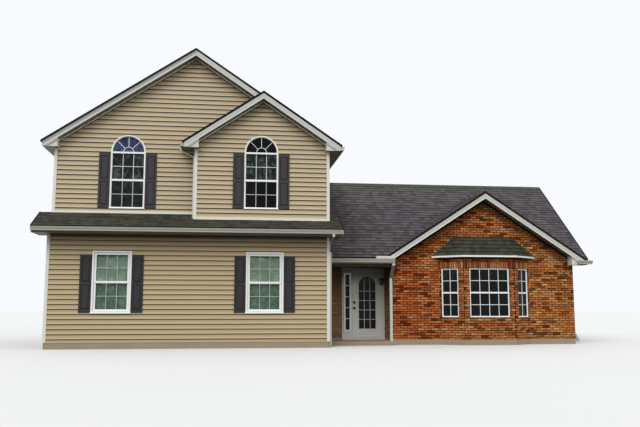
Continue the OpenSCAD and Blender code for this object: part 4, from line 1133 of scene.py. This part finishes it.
class HOUSE_OT_brickwork(Work):
    """Lays the bricks of the gable front, the bay window and the recess"""

    bl_idname, bl_label = "house.brickwork", "Brickwork"

    def make(self):
        s = self.sizes
        size = (s.brick_length, s.brick_height, s.brick_joint, s.brick_depth)
        self.wall("brick_front", "fired_brick", "brick", FRONT, ("brick_piers", "brick_gable_wall"), size)
        bay, courses_below = Shape(), 40
        glass = spots("bay_window_glass")
        head = max(spot.z1 for spot in glass) + 0.055
        upright = (head, head + s.brick_height * 3)
        for out in {tuple(round(v, 5) for v in spot.out) for spot in glass}:
            out = Vector(out).normalized()
            outer = max(faces_towards("bay_window_walls", out), key=lambda region: level_of(region, out))
            lay_bricks(bay, outer, out, head - s.brick_height * courses_below, size, self.chance, upright)
        bay.piece("brick_bay_window", "bay_brick", "brick")
        # The recess's side wall is the same brick as the front, given the recess's copy with its painted
        # shade because it stands in shade
        self.wall("brick_recess_side", "recess_brick", "brick", LEFT, ("porch_right_wall",), size)
        entry = ("entry_back_wall", "entry_header_wall")
        self.wall("brick_entry", "recess_brick", "entry_brick", FRONT, entry, size)

    def wall(self, name, finish, slot, out, nodes, size):
        shape = Shape()
        for region in (r for node in nodes for r in outer_faces(node, out)):
            lay_bricks(shape, region, out, 0.0, size, self.chance)
        shape.piece(name, finish, slot)


class HOUSE_OT_shingles(Work):
    """Lays shingles on every slope"""

    bl_idname, bl_label = "house.shingles", "Shingles"

    def make(self):
        s, widths = self.sizes, (0.11, 0.22)
        for node, finish, colour in ROOFS:
            shape = Shape()
            for region, normal in slopes(node):
                lay_shingles(shape, region, normal, s.shingle_step, s.shingle_thick, widths, self.chance)
            slot = {"pent": "pent_shingles", "bay": "bay_shingles"}.get(colour, "roof_shingles")
            shape.piece(f"shingles_{node}", finish, slot)


class HOUSE_OT_shingle_edges(Work):
    """Adds the dark shingle edges that show over the boards at every rake and eave; at the rakes they hang
    deep enough to paint in the shadow under them as well
    """

    bl_idname, bl_label = "house.shingle_edges", "Shingle edges"

    def make(self):
        shape = Shape()
        for node, _, _ in ROOFS:
            for edge in free_edges(node):
                # At the rakes the dark edge hangs deep, so that it also paints the shadow under it
                proud, drop = (0.036, self.sizes.edge_height) if edge.rake else (0.014, 0.018)
                if node == "bay_window_roof":
                    proud, drop = 0.006, 0.002
                loops = []
                for p in (edge.start, edge.end):
                    top, foot = p + edge.normal * self.sizes.shingle_thick, p - UP * drop
                    by = edge.out * proud
                    loops.append([top, top + by, foot + by, foot - edge.out * 0.004])
                shape.loft(loops)
        shape.piece("shingle_edges", "shingle_edge", "roof_shingles")


class HOUSE_OT_rake_mouldings(Work):
    """Profiles the rake boards: a face that leans back to its foot, and a bead below it"""

    bl_idname, bl_label = "house.rake_mouldings", "Rake mouldings"

    def make(self):
        shape = Shape()
        boards = {"main": "left_wing_trim", "bay_": "left_wing_trim", "pent": "pent_boards"}
        for node in (name for name, _, _ in ROOFS if name != "bay_window_roof"):
            for edge in (e for e in free_edges(node) if e.rake):
                self.profile(shape, boards.get(node[:4], "right_wing_trim"), edge)
        shape.piece("rake_mouldings", "rake_paint", "white_trim")
        # Along each front rake of the siding gables: a light bead just under the soffit, and a dark strip
        # below it as painted shadow
        board, bead = Shape(), Shape()
        for node in ("main_roof_left", "main_roof_right", "bay_gable_roof"):
            for edge in (e for e in free_edges(node) if e.rake and e.out.dot(FRONT) > 0.5):
                for wall in ("upper_front_wall", "upper_gable_wall", "bay_front_wall"):
                    if 0.15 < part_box(wall)[0].y - edge.start.y < 0.35:
                        self.frieze(bead, wall, edge, 0.180, 0.204, 0.024)
                        # The dark strip, a painted shadow under the bead
                        self.frieze(board, wall, edge, 0.204, 0.224, 0.016)
        board.piece("gable_friezes", "beam_paint", "siding")
        bead.piece("gable_frieze_beads", "painted_frames", "siding")

    def frieze(self, shape, wall, edge, top, foot, proud):
        """A strip on the wall along a rake, between two distances below the roof."""
        for region in outer_faces(wall, edge.out):
            edge.strip(region, top, foot)
            if region.faces:
                raise_faces(shape, region.faces[:], lambda at: edge.out * proud)

    def profile(self, shape, trim, edge):
        """The leaning face of one rake board and the bead below it."""
        out, level = edge.out, edge.start.dot(edge.normal)
        top, joint, foot = self.sizes.edge_height, 0.148, 0.199
        boards = [b for b in faces_towards(trim, out) if abs(level_of(b, out) - edge.start.dot(out)) < 0.03]
        for board in boards:
            for start, end, first, last in ((top, joint, 0.030, 0.004), (joint, foot, 0.004, 0.030)):
                band = board.copy()
                edge.strip(band, start, end)

                def lift(at):
                    return out * eased((level - at.dot(edge.normal) - start) / (end - start), first, last)

                if band.faces:
                    raise_faces(shape, band.faces[:], lift)
                band.free()


class HOUSE_OT_ridge_caps(Work):
    """Folds cap shingles over the ridges and the hips of the bay window's roof"""

    bl_idname, bl_label = "house.ridge_caps", "Ridge caps"

    def make(self):
        inset, gables, ridge = 0.004, Shape(), Shape()
        low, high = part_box("main_roof_left")
        self.ridge(gables, Vector((high.x, low.y + inset, high.z)), Vector((high.x, high.y - inset, high.z)),
                   ("main_roof_left", LEFT), ("main_roof_right", RIGHT))
        bay_low, bay_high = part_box("bay_gable_roof")
        self.ridge(gables, Vector((bay_high.x, bay_low.y + inset, bay_high.z)),
                   Vector((bay_high.x, low.y, bay_high.z)),
                   ("bay_gable_roof", LEFT), ("main_roof_right", RIGHT))
        brick_low, brick_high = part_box("brick_gable_roof")
        middle = (brick_low.x + brick_high.x) / 2
        self.ridge(gables, Vector((middle, brick_low.y + inset, brick_high.z)),
                   Vector((middle, brick_high.y - 0.05, brick_high.z)),
                   ("brick_gable_roof", LEFT), ("brick_gable_roof", RIGHT))
        gables.piece("caps_gables", "main_roof_asphalt", "roof_shingles")
        low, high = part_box("right_roof_front")
        self.ridge(ridge, Vector((high.x - inset, high.y, high.z)), Vector((low.x + 0.01, high.y, high.z)),
                   ("right_roof_front", FRONT), ("right_roof_rear", REAR))
        ridge.piece("caps_long_ridge", "low_roof_asphalt", "roof_shingles")
        self.bay_hips()

    def normal_of(self, node, towards):
        """The normal of the slope that faces one way most."""
        return max((n for _, n in slopes(node)), key=lambda n: n.dot(towards))

    def ridge(self, shape, start, end, left, right, **sizes):
        """Caps between two points; left and right are each a roof node and the way its slope faces."""
        lay_caps(shape, start, end, self.normal_of(*left), self.normal_of(*right), **sizes)

    def bay_hips(self):
        """Caps on the two hips that run up from the front corners of the eave."""
        hips, roof, clear = Shape(), "bay_window_roof", 0.035
        corners = sorted({tuple(round(x, 4) for x in v.co) for v in node_mesh(roof).verts})
        top = max(z for _, _, z in corners)
        foot = sorted((Vector(p) for p in corners if p[2] < top - 0.3), key=lambda p: p.y)
        eave = max(p.z for p in foot)
        front = sorted((p for p in foot if p.y < foot[0].y + 0.01 and p.z > eave - 0.01), key=lambda p: p.x)
        crest = sorted((Vector(p) for p in corners if p[2] > top - 0.001), key=lambda p: (p.y, p.x))
        edge = sorted((p for p in crest if p.y < crest[0].y + 0.01), key=lambda p: p.x)
        for corner, crown, side in ((front[0], edge[0], LEFT), (front[-1], edge[-1], RIGHT)):
            start = corner + (crown - corner).normalized() * clear
            self.ridge(hips, start, crown, (roof, FRONT), (roof, side), reach=0.09, thick=0.008)
        hips.piece("caps_bay_hips", "bay_asphalt", "bay_shingles")


class HOUSE_OT_windows(Work):
    """Builds the casings, sashes and bars of the double-hung, the round-topped and the bay windows"""

    bl_idname, bl_label = "house.windows", "Windows"

    def make(self):
        plain, arched, lower_bars, seals, dim_bars = Shape(), Shape(), Shape(), Shape(), Shape()
        for spot in spots("window_glass"):
            if spot.arched:
                self.round_topped(arched, dim_bars, spot.widened(ARCH_GLASS_MORE))
            else:
                self.double_hung(plain, lower_bars, seals, spot)
        finish, slot = "painted_frames", "white_trim"
        plain.piece("windows_double_hung", finish, slot, replaces=["lower_windows"], bevel=0.002)
        arched.piece("windows_round_topped", finish, slot, replaces=["upper_windows"], bevel=0.002)
        lower_bars.piece("window_bars", "bar_paint", slot)
        dim_bars.piece("window_bars_upstairs", "painted_trim", slot)
        seals.piece("window_seals", "rubber_seal", slot)
        bay = Shape()
        for spot in spots("bay_window_glass"):
            self.bay_sash(bay, spot.widened(BAY_GLASS_MORE))
        bay.piece("bay_window_sashes", finish, slot, replaces=["bay_window_frames"], bevel=0.0015)

    def double_hung(self, frames, bars, seals, spot):
        """Casing, two sashes and the sill; the upper sash stands in front of the lower one's head."""
        casing, rail, proud, back = 0.104, 0.055, 0.055, -0.080
        sash = casing * 0.48
        under, over = (spot.z0 + spot.z1 - rail) / 2, (spot.z0 + spot.z1 + rail) / 2
        spot.ring(frames, (casing,), (sash + 0.009,), proud, back)
        spot.ring(frames, (sash + 0.009,), (sash,), 0.004, back)
        spot.ring(frames, (sash, under), (0.0, over), 0.032, 0.001)
        spot.ring(frames, (sash, None, under), (0.0, None, under - 0.012), 0.018, -0.030)
        spot.sill(frames, casing, 0.03, 0.068)
        for foot, head in ((spot.z0, under), (over, spot.z1)):
            spot.grid(bars, foot, head, 3, 2, self.sizes.bar_width, 0.006)
            # A near black strip under each sash's head, a painted shadow
            spot.crossbar(seals, head - 0.022, head, 0.0035)

    def round_topped(self, frames, bars, spot):
        """Casing, rails, a small half round at the foot of the arch and the bars that fan out from it."""
        jamb, rail, bar, small = 0.066 - ARCH_GLASS_MORE, 0.055, 0.048, 0.135
        spot.ring(frames, (jamb,), (jamb * 0.42,), 0.055, -0.080)
        spot.ring(frames, (jamb * 0.42,), (0.0,), 0.040, -0.040)
        spot.sill(frames, jamb, 0.02, 0.064)
        mid = (spot.z0 - jamb + spot.spring) / 2
        spot.crossbar(frames, spot.spring - bar, spot.spring, 0.050)
        spot.crossbar(frames, mid - rail / 2, mid + rail / 2, 0.032)
        width, proud = self.sizes.bar_width * 0.85, 0.012
        spot.grid(bars, spot.z0, mid - rail / 2, 3, 2, width, proud)
        spot.grid(frames, mid + rail / 2, spot.spring - bar, 3, 2, width, proud)
        near, far = small - width / 2, small + width / 2
        section = ((near, 0.0), (far, 0.0), (far, proud), (near, proud))
        frames.loft([[spot.polar(r, t, out) for r, out in section] for t in over_arch(20)])
        radius = (spot.u1 - spot.u0) / 2 + 0.002
        for turn in (45, 90, 135):
            ray = Vector((math.cos(math.radians(turn)), math.sin(math.radians(turn))))
            side = Vector((-ray.y, ray.x)) * (width / 2)
            ends = [ray * small - side, ray * radius - side, ray * radius + side, ray * small + side]
            frames.prism([spot.point(spot.mid + e.x, spot.spring + e.y) for e in ends], spot.out * 0.011)

    def bay_sash(self, shape, spot):
        """Frame, meeting rail and bars of one window of the bay."""
        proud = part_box("bay_window_glass")[0].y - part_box("bay_window_frames")[0].y
        rail, around_glass, wide = 0.046, 0.055 - BAY_GLASS_MORE, 0.8
        under, over = (spot.z0 + spot.z1 - rail) / 2, (spot.z0 + spot.z1 + rail) / 2
        spot.ring(shape, (around_glass,), (around_glass * 0.4,), proud, -0.030)
        spot.ring(shape, (around_glass * 0.4,), (0.0,), proud - 0.010, -0.020)
        spot.crossbar(shape, under, over, proud - 0.008)
        columns = 4 if spot.u1 - spot.u0 > wide else 2
        for foot, head in ((spot.z0, under), (over, spot.z1)):
            spot.grid(shape, foot, head, columns, 2, self.sizes.bar_width, 0.009)


class HOUSE_OT_panes(Work):
    """Sets the glass of every window and hangs the blinds behind the lower ones"""

    bl_idname, bl_label = "house.panes", "Glass and blinds"

    def make(self):
        upper, clear, screened, violet, black = Shape(), Shape(), Shape(), Shape(), Shape()
        slats, bay = Shape(), Shape()
        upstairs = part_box("upper_floor")[0].z
        for spot in spots("window_glass"):
            middle = (spot.z0 + spot.z1) / 2
            if spot.arched:
                spot.widened(ARCH_GLASS_MORE)
            if spot.arched and spot.mid < WING_MIDDLES[0]:
                spot.pane(upper, None, spot.spring)
                spot.pane(violet, spot.spring)
            elif spot.arched:
                middle = (spot.z0 + spot.spring) / 2 - 0.02
                spot.pane(black, None, middle)
                spot.pane(upper, middle, spot.spring)
                spot.pane(black, spot.spring)
            elif spot.z1 < upstairs:
                spot.pane(clear, middle)
                spot.pane(screened, None, middle)
                self.blind(slats, spot)
            else:
                spot.pane(upper)
        for spot in spots("bay_window_glass"):
            spot.widened(BAY_GLASS_MORE).pane(bay)
        bay.piece("panes_bay", "dark_glass", "glass", replaces=["bay_window_glass"])
        clear.piece("panes_with_blinds", "clear_glass", "glass", replaces=["window_glass"])
        screened.piece("panes_with_screens", "screened_glass", "glass")
        upper.piece("panes_upstairs", "reflecting_glass", "glass")
        violet.piece("panes_main_gable", "violet_glass", "glass")
        black.piece("panes_small_gable", "black_glass", "glass")
        slats.piece("window_blinds", "blind_slats", "white_trim")

    def blind(self, shape, spot):
        """Closed slats behind the glass, which lap over each other."""
        pitch, back, over, thick = self.sizes.slat_pitch, -0.055, 0.02, 0.0015
        width, tilt = pitch * 1.16, math.radians(68)
        deep, rise = width * math.cos(tilt) / 2, width * math.sin(tilt) / 2
        u0, u1, z = spot.u0 - over, spot.u1 + over, spot.z0 + 0.01
        while z < spot.z1:
            shape.prism([spot.point(u0, z - rise, back + deep), spot.point(u1, z - rise, back + deep),
                         spot.point(u1, z + rise, back - deep), spot.point(u0, z + rise, back - deep)],
                        spot.out * thick)
            z += pitch


class HOUSE_OT_shutters(Work):
    """Builds the raised-panel shutters"""

    bl_idname, bl_label = "house.shutters", "Shutters"

    def make(self):
        shape, grooves = Shape(), Shape()
        for corners, _ in islands("shutters"):
            self.shutter(shape, grooves, *span(corners))
        shape.piece("shutters_raised", "shutter_plastic", "shutter", replaces=["shutters"], bevel=0.0015)
        grooves.piece("shutter_grooves", "dark_plastic", "shutter")

    def shutter(self, shape, grooves, low, high):
        """Stiles, rails and two raised panels, with near black pieces in the grooves round the panels as
        painted shade.
        """
        stile, rail, bead = 0.050, 0.085, 0.016
        face, sunk = low.y, low.y + 0.0135
        x0, x1, middle = low.x + stile, high.x - stile, (low.z + high.z) / 2
        shape.box((low.x, face, low.z), (x0, high.y, high.z))
        shape.box((x1, face, low.z), (high.x, high.y, high.z))
        bands = [(low.z, low.z + rail), (middle - rail / 2, middle + rail / 2), (high.z - rail, high.z)]
        for z0, z1 in bands:
            shape.box((x0, face, z0), (x1, high.y, z1))
        for (_, z0), (z1, _) in zip(bands, bands[1:]):
            # A near black piece deep in the groove, as painted shade
            grooves.box((x0, sunk, z0), (x1, high.y, z1))
            shape.raised_panel(x0, x1, z0, z1,
                               ((bead, sunk), (bead + 0.004, sunk - 0.004), (bead + 0.026, face + 0.001)))


class HOUSE_OT_door(Work):
    """Adds the front door's glass bars, mouldings and bottom panel, and plates behind its knob and lock"""

    bl_idname, bl_label = "house.door", "Front door"

    def make(self):
        spot, shape = spots("door_glass")[0], Shape()
        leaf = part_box("front_door")[0]
        proud, back = -spot.face - leaf.y, -spot.face - leaf.y - 0.004
        spot.ring(shape, (0.024,), (0.0,), proud + 0.008, back)
        spot.ring(shape, (0.012,), (-0.006,), proud + 0.012, back)
        width, columns, rows, crown = 0.015, 3, 5, 0.10
        for i in range(1, columns):
            u = spot.u0 + (spot.u1 - spot.u0) * i / columns
            rise = math.sqrt(((spot.u1 - spot.u0) / 2) ** 2 - (u - spot.mid) ** 2)
            spot.bar(shape, u - width / 2, u + width / 2, spot.z0, spot.spring + rise, proud + 0.004)
        for j in range(1, rows):
            z = spot.z0 + (spot.spring + crown - spot.z0) / rows * j
            spot.crossbar(shape, z - width / 2, z + width / 2, proud + 0.003)
        section = ((0.0, 0.0), (0.008, 0.007), (0.024, 0.007), (0.032, 0.001), (0.05, 0.006))
        shape.raised_panel(spot.u0, spot.u1, leaf.z + 0.075, spot.z0 - 0.065,
                           [(inset, leaf.y - out) for inset, out in section])
        shape.piece("door_mouldings", "door_enamel", "door_paint", body="door", bevel=0.0012)
        self.back_plates(leaf.y)

    def back_plates(self, face):
        """Round stepped plates behind the knob and the lock."""
        plates, tallest = Shape(), 0.12
        for low, high in (span(corners) for corners, _ in islands("door_hardware")):
            if low.y < face - 0.004 and high.z - low.z < tallest:
                x, z = (low.x + high.x) / 2, (low.z + high.z) / 2
                steps = ((0.040, 0.0), (0.040, 0.004), (0.034, 0.008), (0.020, 0.010))
                plates.loft([[Vector((x + r * math.cos(t), face - y, z + r * math.sin(t)))
                              for t in around(24)] for r, y in steps])
        plates.piece("door_back_plates", "door_bronze", "door_metal", body="door")


class HOUSE_OT_entry(Work):
    """Adds the sidelight's bars and moulding, the casing beads of the entry and the boards of its ceiling"""

    bl_idname, bl_label = "house.entry", "Entry"

    def make(self):
        glass_low, glass_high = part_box("sidelight_glass")
        low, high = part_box("door_frame")
        self.bars(glass_low, glass_high, low, high)
        self.moulding(glass_low, glass_high, low.y)
        self.soffit(low.y - 0.012)

    def bars(self, glass_low, glass_high, low, high):
        """Bars over the sidelight, and beads along the sides and the head of the frame."""
        shape, width, rows = Shape(), 0.024, 5
        for j in range(1, rows):
            z, y = glass_low.z + (glass_high.z - glass_low.z) * j / rows, glass_low.y
            shape.box((glass_low.x, y - 0.010, z - width / 2), (glass_high.x, y, z + width / 2))
        front, back, near, far, top = low.y - 0.006, low.y + 0.004, 0.006, 0.022, high.z - 0.01
        for x0, x1 in ((low.x + near, low.x + far), (high.x - far, high.x - near)):
            shape.box((x0, front, low.z + 0.02), (x1, back, top))
        shape.box((low.x + near, front, high.z - 0.026), (high.x - near, back, top))
        shape.piece("entry_bars", "entry_paint", "white_trim", bevel=0.0015)

    def moulding(self, low, high, face):
        """Four strips round the sidelight."""
        shape, near, side, end = Shape(), 0.004, 0.052, 0.05
        for (x0, x1), (z0, z1) in (
                ((low.x - side, low.x - near), (low.z - end, high.z + end)),
                ((high.x + near, high.x + side), (low.z - end, high.z + end)),
                ((low.x - near, high.x + near), (low.z - end, low.z - near)),
                ((low.x - near, high.x + near), (high.z + near, high.z + end))):
            shape.box((x0, face - 0.008, z0), (x1, face + 0.004, z1))
        shape.piece("sidelight_moulding", "painted_frames", "white_trim", bevel=0.0015)

    def soffit(self, front):
        """Ceiling boards level with the beam, from behind it to the door's frame."""
        shape, board, gap, side, least = Shape(), 0.085, 0.004, 0.003, 0.03
        low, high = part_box("porch_beam")
        y, z = low.y + 0.16, low.z + 0.022
        while y < front - least:
            far = min(front, y + board)
            shape.box((low.x + side, y, z), (high.x - side, far - gap, z + 0.008))
            y += board
        shape.piece("recess_soffit", "beam_paint", "porch_paint")


class HOUSE_OT_lantern(Work):
    """Builds the wall lantern with its cage, roof and glass"""

    bl_idname, bl_label = "house.lantern", "Lantern"

    def make(self):
        low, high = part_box("wall_lantern")
        metal, glass = Shape(), Shape()
        x, half, height, wall = (low.x + high.x) / 2, (high.x - low.x) / 2, high.z - low.z, high.y
        y, mount = low.y + half, low.z + height * 0.45

        def turned(steps):
            """A six-sided turning: its loops, each from shares of the half width and of the height."""
            return [[Vector((x + half * r * math.cos(t), y + half * r * math.sin(t), low.z + height * h))
                     for t in around(6, math.pi / 6)] for r, h in steps]

        metal.loft(turned(((0.12, 0.0), (0.2, 0.03), (0.1, 0.06), (0.62, 0.10), (0.66, 0.13), (0.5, 0.15))))
        metal.loft(turned(((0.80, 0.68), (1.0, 0.70), (0.96, 0.73), (0.55, 0.84), (0.22, 0.90), (0.1, 0.93),
                           (0.16, 0.96), (0.05, 1.0))))
        for a, b in zip(*turned(((0.60, 0.13), (0.86, 0.70)))):
            metal.tube([a, b], 0.004, 6)
        glass.loft(turned(((0.55, 0.14), (0.80, 0.69))))
        metal.box((x - 0.03, wall - 0.018, mount - 0.07), (x + 0.03, wall, mount + 0.07))
        arm = ((wall - 0.015, mount), (wall - 0.05, mount + 0.045), (y + half * 0.9, mount + 0.055),
               (y + half * 0.55, low.z + height * 0.78))
        metal.tube([Vector((x, *at)) for at in arm], 0.008, 8)
        metal.piece("lantern_cage", "lantern_black", "lantern_metal", replaces=["wall_lantern"], bevel=0.001)
        glass.piece("lantern_glass", "clear_glass", "glass")


class HOUSE_OT_gutter_details(Work):
    """Folds the gutters with their curved fronts, ends and hangers, and straps the downspouts"""

    bl_idname, bl_label = "house.gutter_details", "Gutter details"

    def make(self):
        shape, front, straps = Shape(), Shape(), Shape()
        for low, high in (span(corners) for corners, _ in islands("gutters")):
            # Gutters over the front take the darker copy, as painted shade
            self.trough(front if high.y < 0 else shape, low, high)
        shape.piece("gutter_runs", "gutter_paint", "gutter_metal", replaces=["gutters"])
        front.piece("gutter_runs_front", "dull_gutter_paint", "gutter_metal")
        for corners, _ in islands("downspouts"):
            self.strap_pair(straps, corners)
        straps.piece("downspout_straps", "gutter_paint", "gutter_metal", bevel=0.001)

    def strap_pair(self, shape, corners):
        """Two straps round the straight run of a downspout."""
        low, high = span(corners)
        end, more, tall = 0.15, 0.004, 0.028
        run = [c for c in corners if low.z + end < c.z < high.z - end]
        near, far = span(run or [c for c in corners if c.z > high.z - 0.01])
        for share in (0.27, 0.675):
            z = low.z + (high.z - low.z) * share
            shape.box((near.x - more, near.y - more, z), (far.x + more, far.y + more, z + tall))

    def trough(self, shape, low, high):
        """One gutter: its section runs from the rolled lip round the outside and back along the inside."""
        along = 0 if high.x - low.x > high.y - low.y else 1
        across = 1 - along
        middle = (low[across] + high[across]) / 2
        front = middle < (CAD_BOX[0][across] + CAD_BOX[1][across]) / 2
        outer, inwards = (low[across], 1) if front else (high[across], -1)
        h, d = high.z - low.z, high[across] - low[across]
        skin = [(0, h), (0, h - 0.016), (0.004, h - 0.021), (0.010, h - 0.046), (0.021, h - 0.068),
                (0.023, 0.004), (0.027, 0), (d, 0), (d, h)]
        lining = [(d - 0.003, h), (d - 0.003, 0.003), (0.029, 0.003), (0.026, 0.006), (0.024, h - 0.0695),
                  (0.013, h - 0.0475), (0.007, h - 0.022), (0.003, h - 0.017), (0.003, h - 0.003),
                  (0.014, h - 0.003), (0.014, h)]
        hanger = [(0.004, h - 0.009), (d - 0.001, h - 0.009), (d - 0.001, h - 0.005), (0.004, h - 0.005)]
        end_thick, half_hanger, hanger_gap = 0.002, 0.012, 0.8

        def run(start, end, outline):
            """The outline drawn along the gutter, from one place to another."""
            loops = []
            for at in (start, end):
                points = [Vector((0, 0, low.z + v)) for _, v in outline]
                for point, (u, _) in zip(points, outline):
                    point[along], point[across] = at, outer + inwards * u
                loops.append(points)
            shape.loft(loops)

        start, end = low[along], high[along]
        run(start, end, skin + lining)
        run(start, start + end_thick, skin)
        run(end - end_thick, end, skin)
        count = max(1, int((end - start) / hanger_gap))
        for k in range(count):
            at = start + (k + 0.5) * (end - start) / count
            run(at - half_hanger, at + half_hanger, hanger)


# The camera's place, its rise and its turn to the right in degrees, and its lens in millimetres
CAMERA_AT, CAMERA_RISE, CAMERA_TURN = (-2.823, -23.120, 1.018), 7.37, 7.24
LENS, SENSOR = 41.49, 36.0
# Each lamp's name, turn to the right and height in degrees, strength, and width in degrees
LAMPS = (("key_light", -32, 42, 1.50, 40), ("fill_light", 50, 30, 0.55, 70))
FLOOR_REACH = 260.0


class HOUSE_OT_stage(Work):
    """Sets the floor, the light and the camera"""

    bl_idname, bl_label = "house.stage", "Stage"

    def make(self):
        self.scene = bpy.context.scene
        self.scene.view_settings.view_transform = "Standard"
        self.floor()
        self.sky()
        for lamp in LAMPS:
            self.lamp(*lamp)
        lens = bpy.data.cameras.new("camera")
        lens.lens, lens.sensor_width, lens.sensor_fit = LENS, SENSOR, "HORIZONTAL"
        lens.clip_start, lens.clip_end = 0.1, 900.0
        camera = self.put("camera", lens)
        camera.location = CAMERA_AT
        camera.rotation_euler = (math.radians(90 + CAMERA_RISE), 0.0, math.radians(-CAMERA_TURN))
        self.scene.camera = camera

    def put(self, name, data):
        made = bpy.data.objects.new(name, data)
        self.scene.collection.objects.link(made)
        return made

    def floor(self):
        """A floor that is pale to the camera and throws little light up at the house."""
        mesh = bpy.data.meshes.new("studio_floor")
        corners = [(x * FLOOR_REACH, y * FLOOR_REACH, 0) for x, y in ((-1, -1), (1, -1), (1, 1), (-1, 1))]
        mesh.from_pydata(corners, [], [(0, 1, 2, 3)])
        m = Surface("studio_floor", 0.9)
        pale = m.mix(m.noise(0.08, 2.0), paint(226, 226, 224), paint(232, 232, 230))
        m.colour(m.mix(m.background(), paint(70, 72, 62), pale))
        mesh.materials.append(m.material)
        self.put("studio_floor", mesh)

    def lamp(self, name, turn, lift, strength, width):
        """A broad lamp that shines from a turn and a height."""
        light = bpy.data.lights.new(name, "SUN")
        light.energy, light.angle = strength, math.radians(width)
        a, e = math.radians(turn), math.radians(lift)
        source = Vector((math.sin(a) * math.cos(e), -math.cos(a) * math.cos(e), math.sin(e)))
        self.put(name, light).rotation_euler = source.to_track_quat("Z", "Y").to_euler()

    def sky(self):
        """A pale dome that lights evenly, and shows white to the camera."""
        world = bpy.data.worlds.new("studio_dome")
        tree = Tree(world)
        soft = tree.node("ShaderNodeBackground", {}, {0: (0.95, 0.98, 1.0), 1: 0.78})
        white = tree.node("ShaderNodeBackground", {}, {0: (0.94, 0.96, 1.0), 1: 1.0})
        shown = tree.node("ShaderNodeMixShader", {}, {0: tree.background(), 1: soft, 2: white})
        tree.finish("ShaderNodeOutputWorld", shown.socket)
        self.scene.world = world


STEPS = (HOUSE_OT_finishes, HOUSE_OT_siding, HOUSE_OT_brickwork, HOUSE_OT_shingles, HOUSE_OT_shingle_edges,
         HOUSE_OT_rake_mouldings, HOUSE_OT_ridge_caps, HOUSE_OT_windows, HOUSE_OT_panes, HOUSE_OT_shutters,
         HOUSE_OT_door, HOUSE_OT_entry, HOUSE_OT_lantern, HOUSE_OT_gutter_details, HOUSE_OT_stage)


class HOUSE_PT_panel(Panel):
    """Lists the house's operators, sizes and colours"""

    bl_idname, bl_label = "HOUSE_PT_panel", "House"
    bl_space_type, bl_region_type, bl_category = "VIEW_3D", "UI", "House"

    def draw(self, context):
        for step in STEPS:
            self.layout.operator(step.bl_idname)
        for group in (context.scene.house_sizes, context.scene.house_colours):
            column = self.layout.column()
            for name in group.__annotations__:
                column.prop(group, name)


CLASSES = (HouseSizes, HouseColours, *STEPS, HOUSE_PT_panel)


def register():
    for made in CLASSES:
        bpy.utils.register_class(made)
    bpy.types.Scene.house_sizes = PointerProperty(type=HouseSizes)
    bpy.types.Scene.house_colours = PointerProperty(type=HouseColours)


def unregister():
    del bpy.types.Scene.house_sizes, bpy.types.Scene.house_colours
    for made in reversed(CLASSES):
        bpy.utils.unregister_class(made)


def main():
    register()
    for step in STEPS:
        group, name = step.bl_idname.split(".")
        getattr(getattr(bpy.ops, group), name)()


if __name__ == "__main__":
    main()
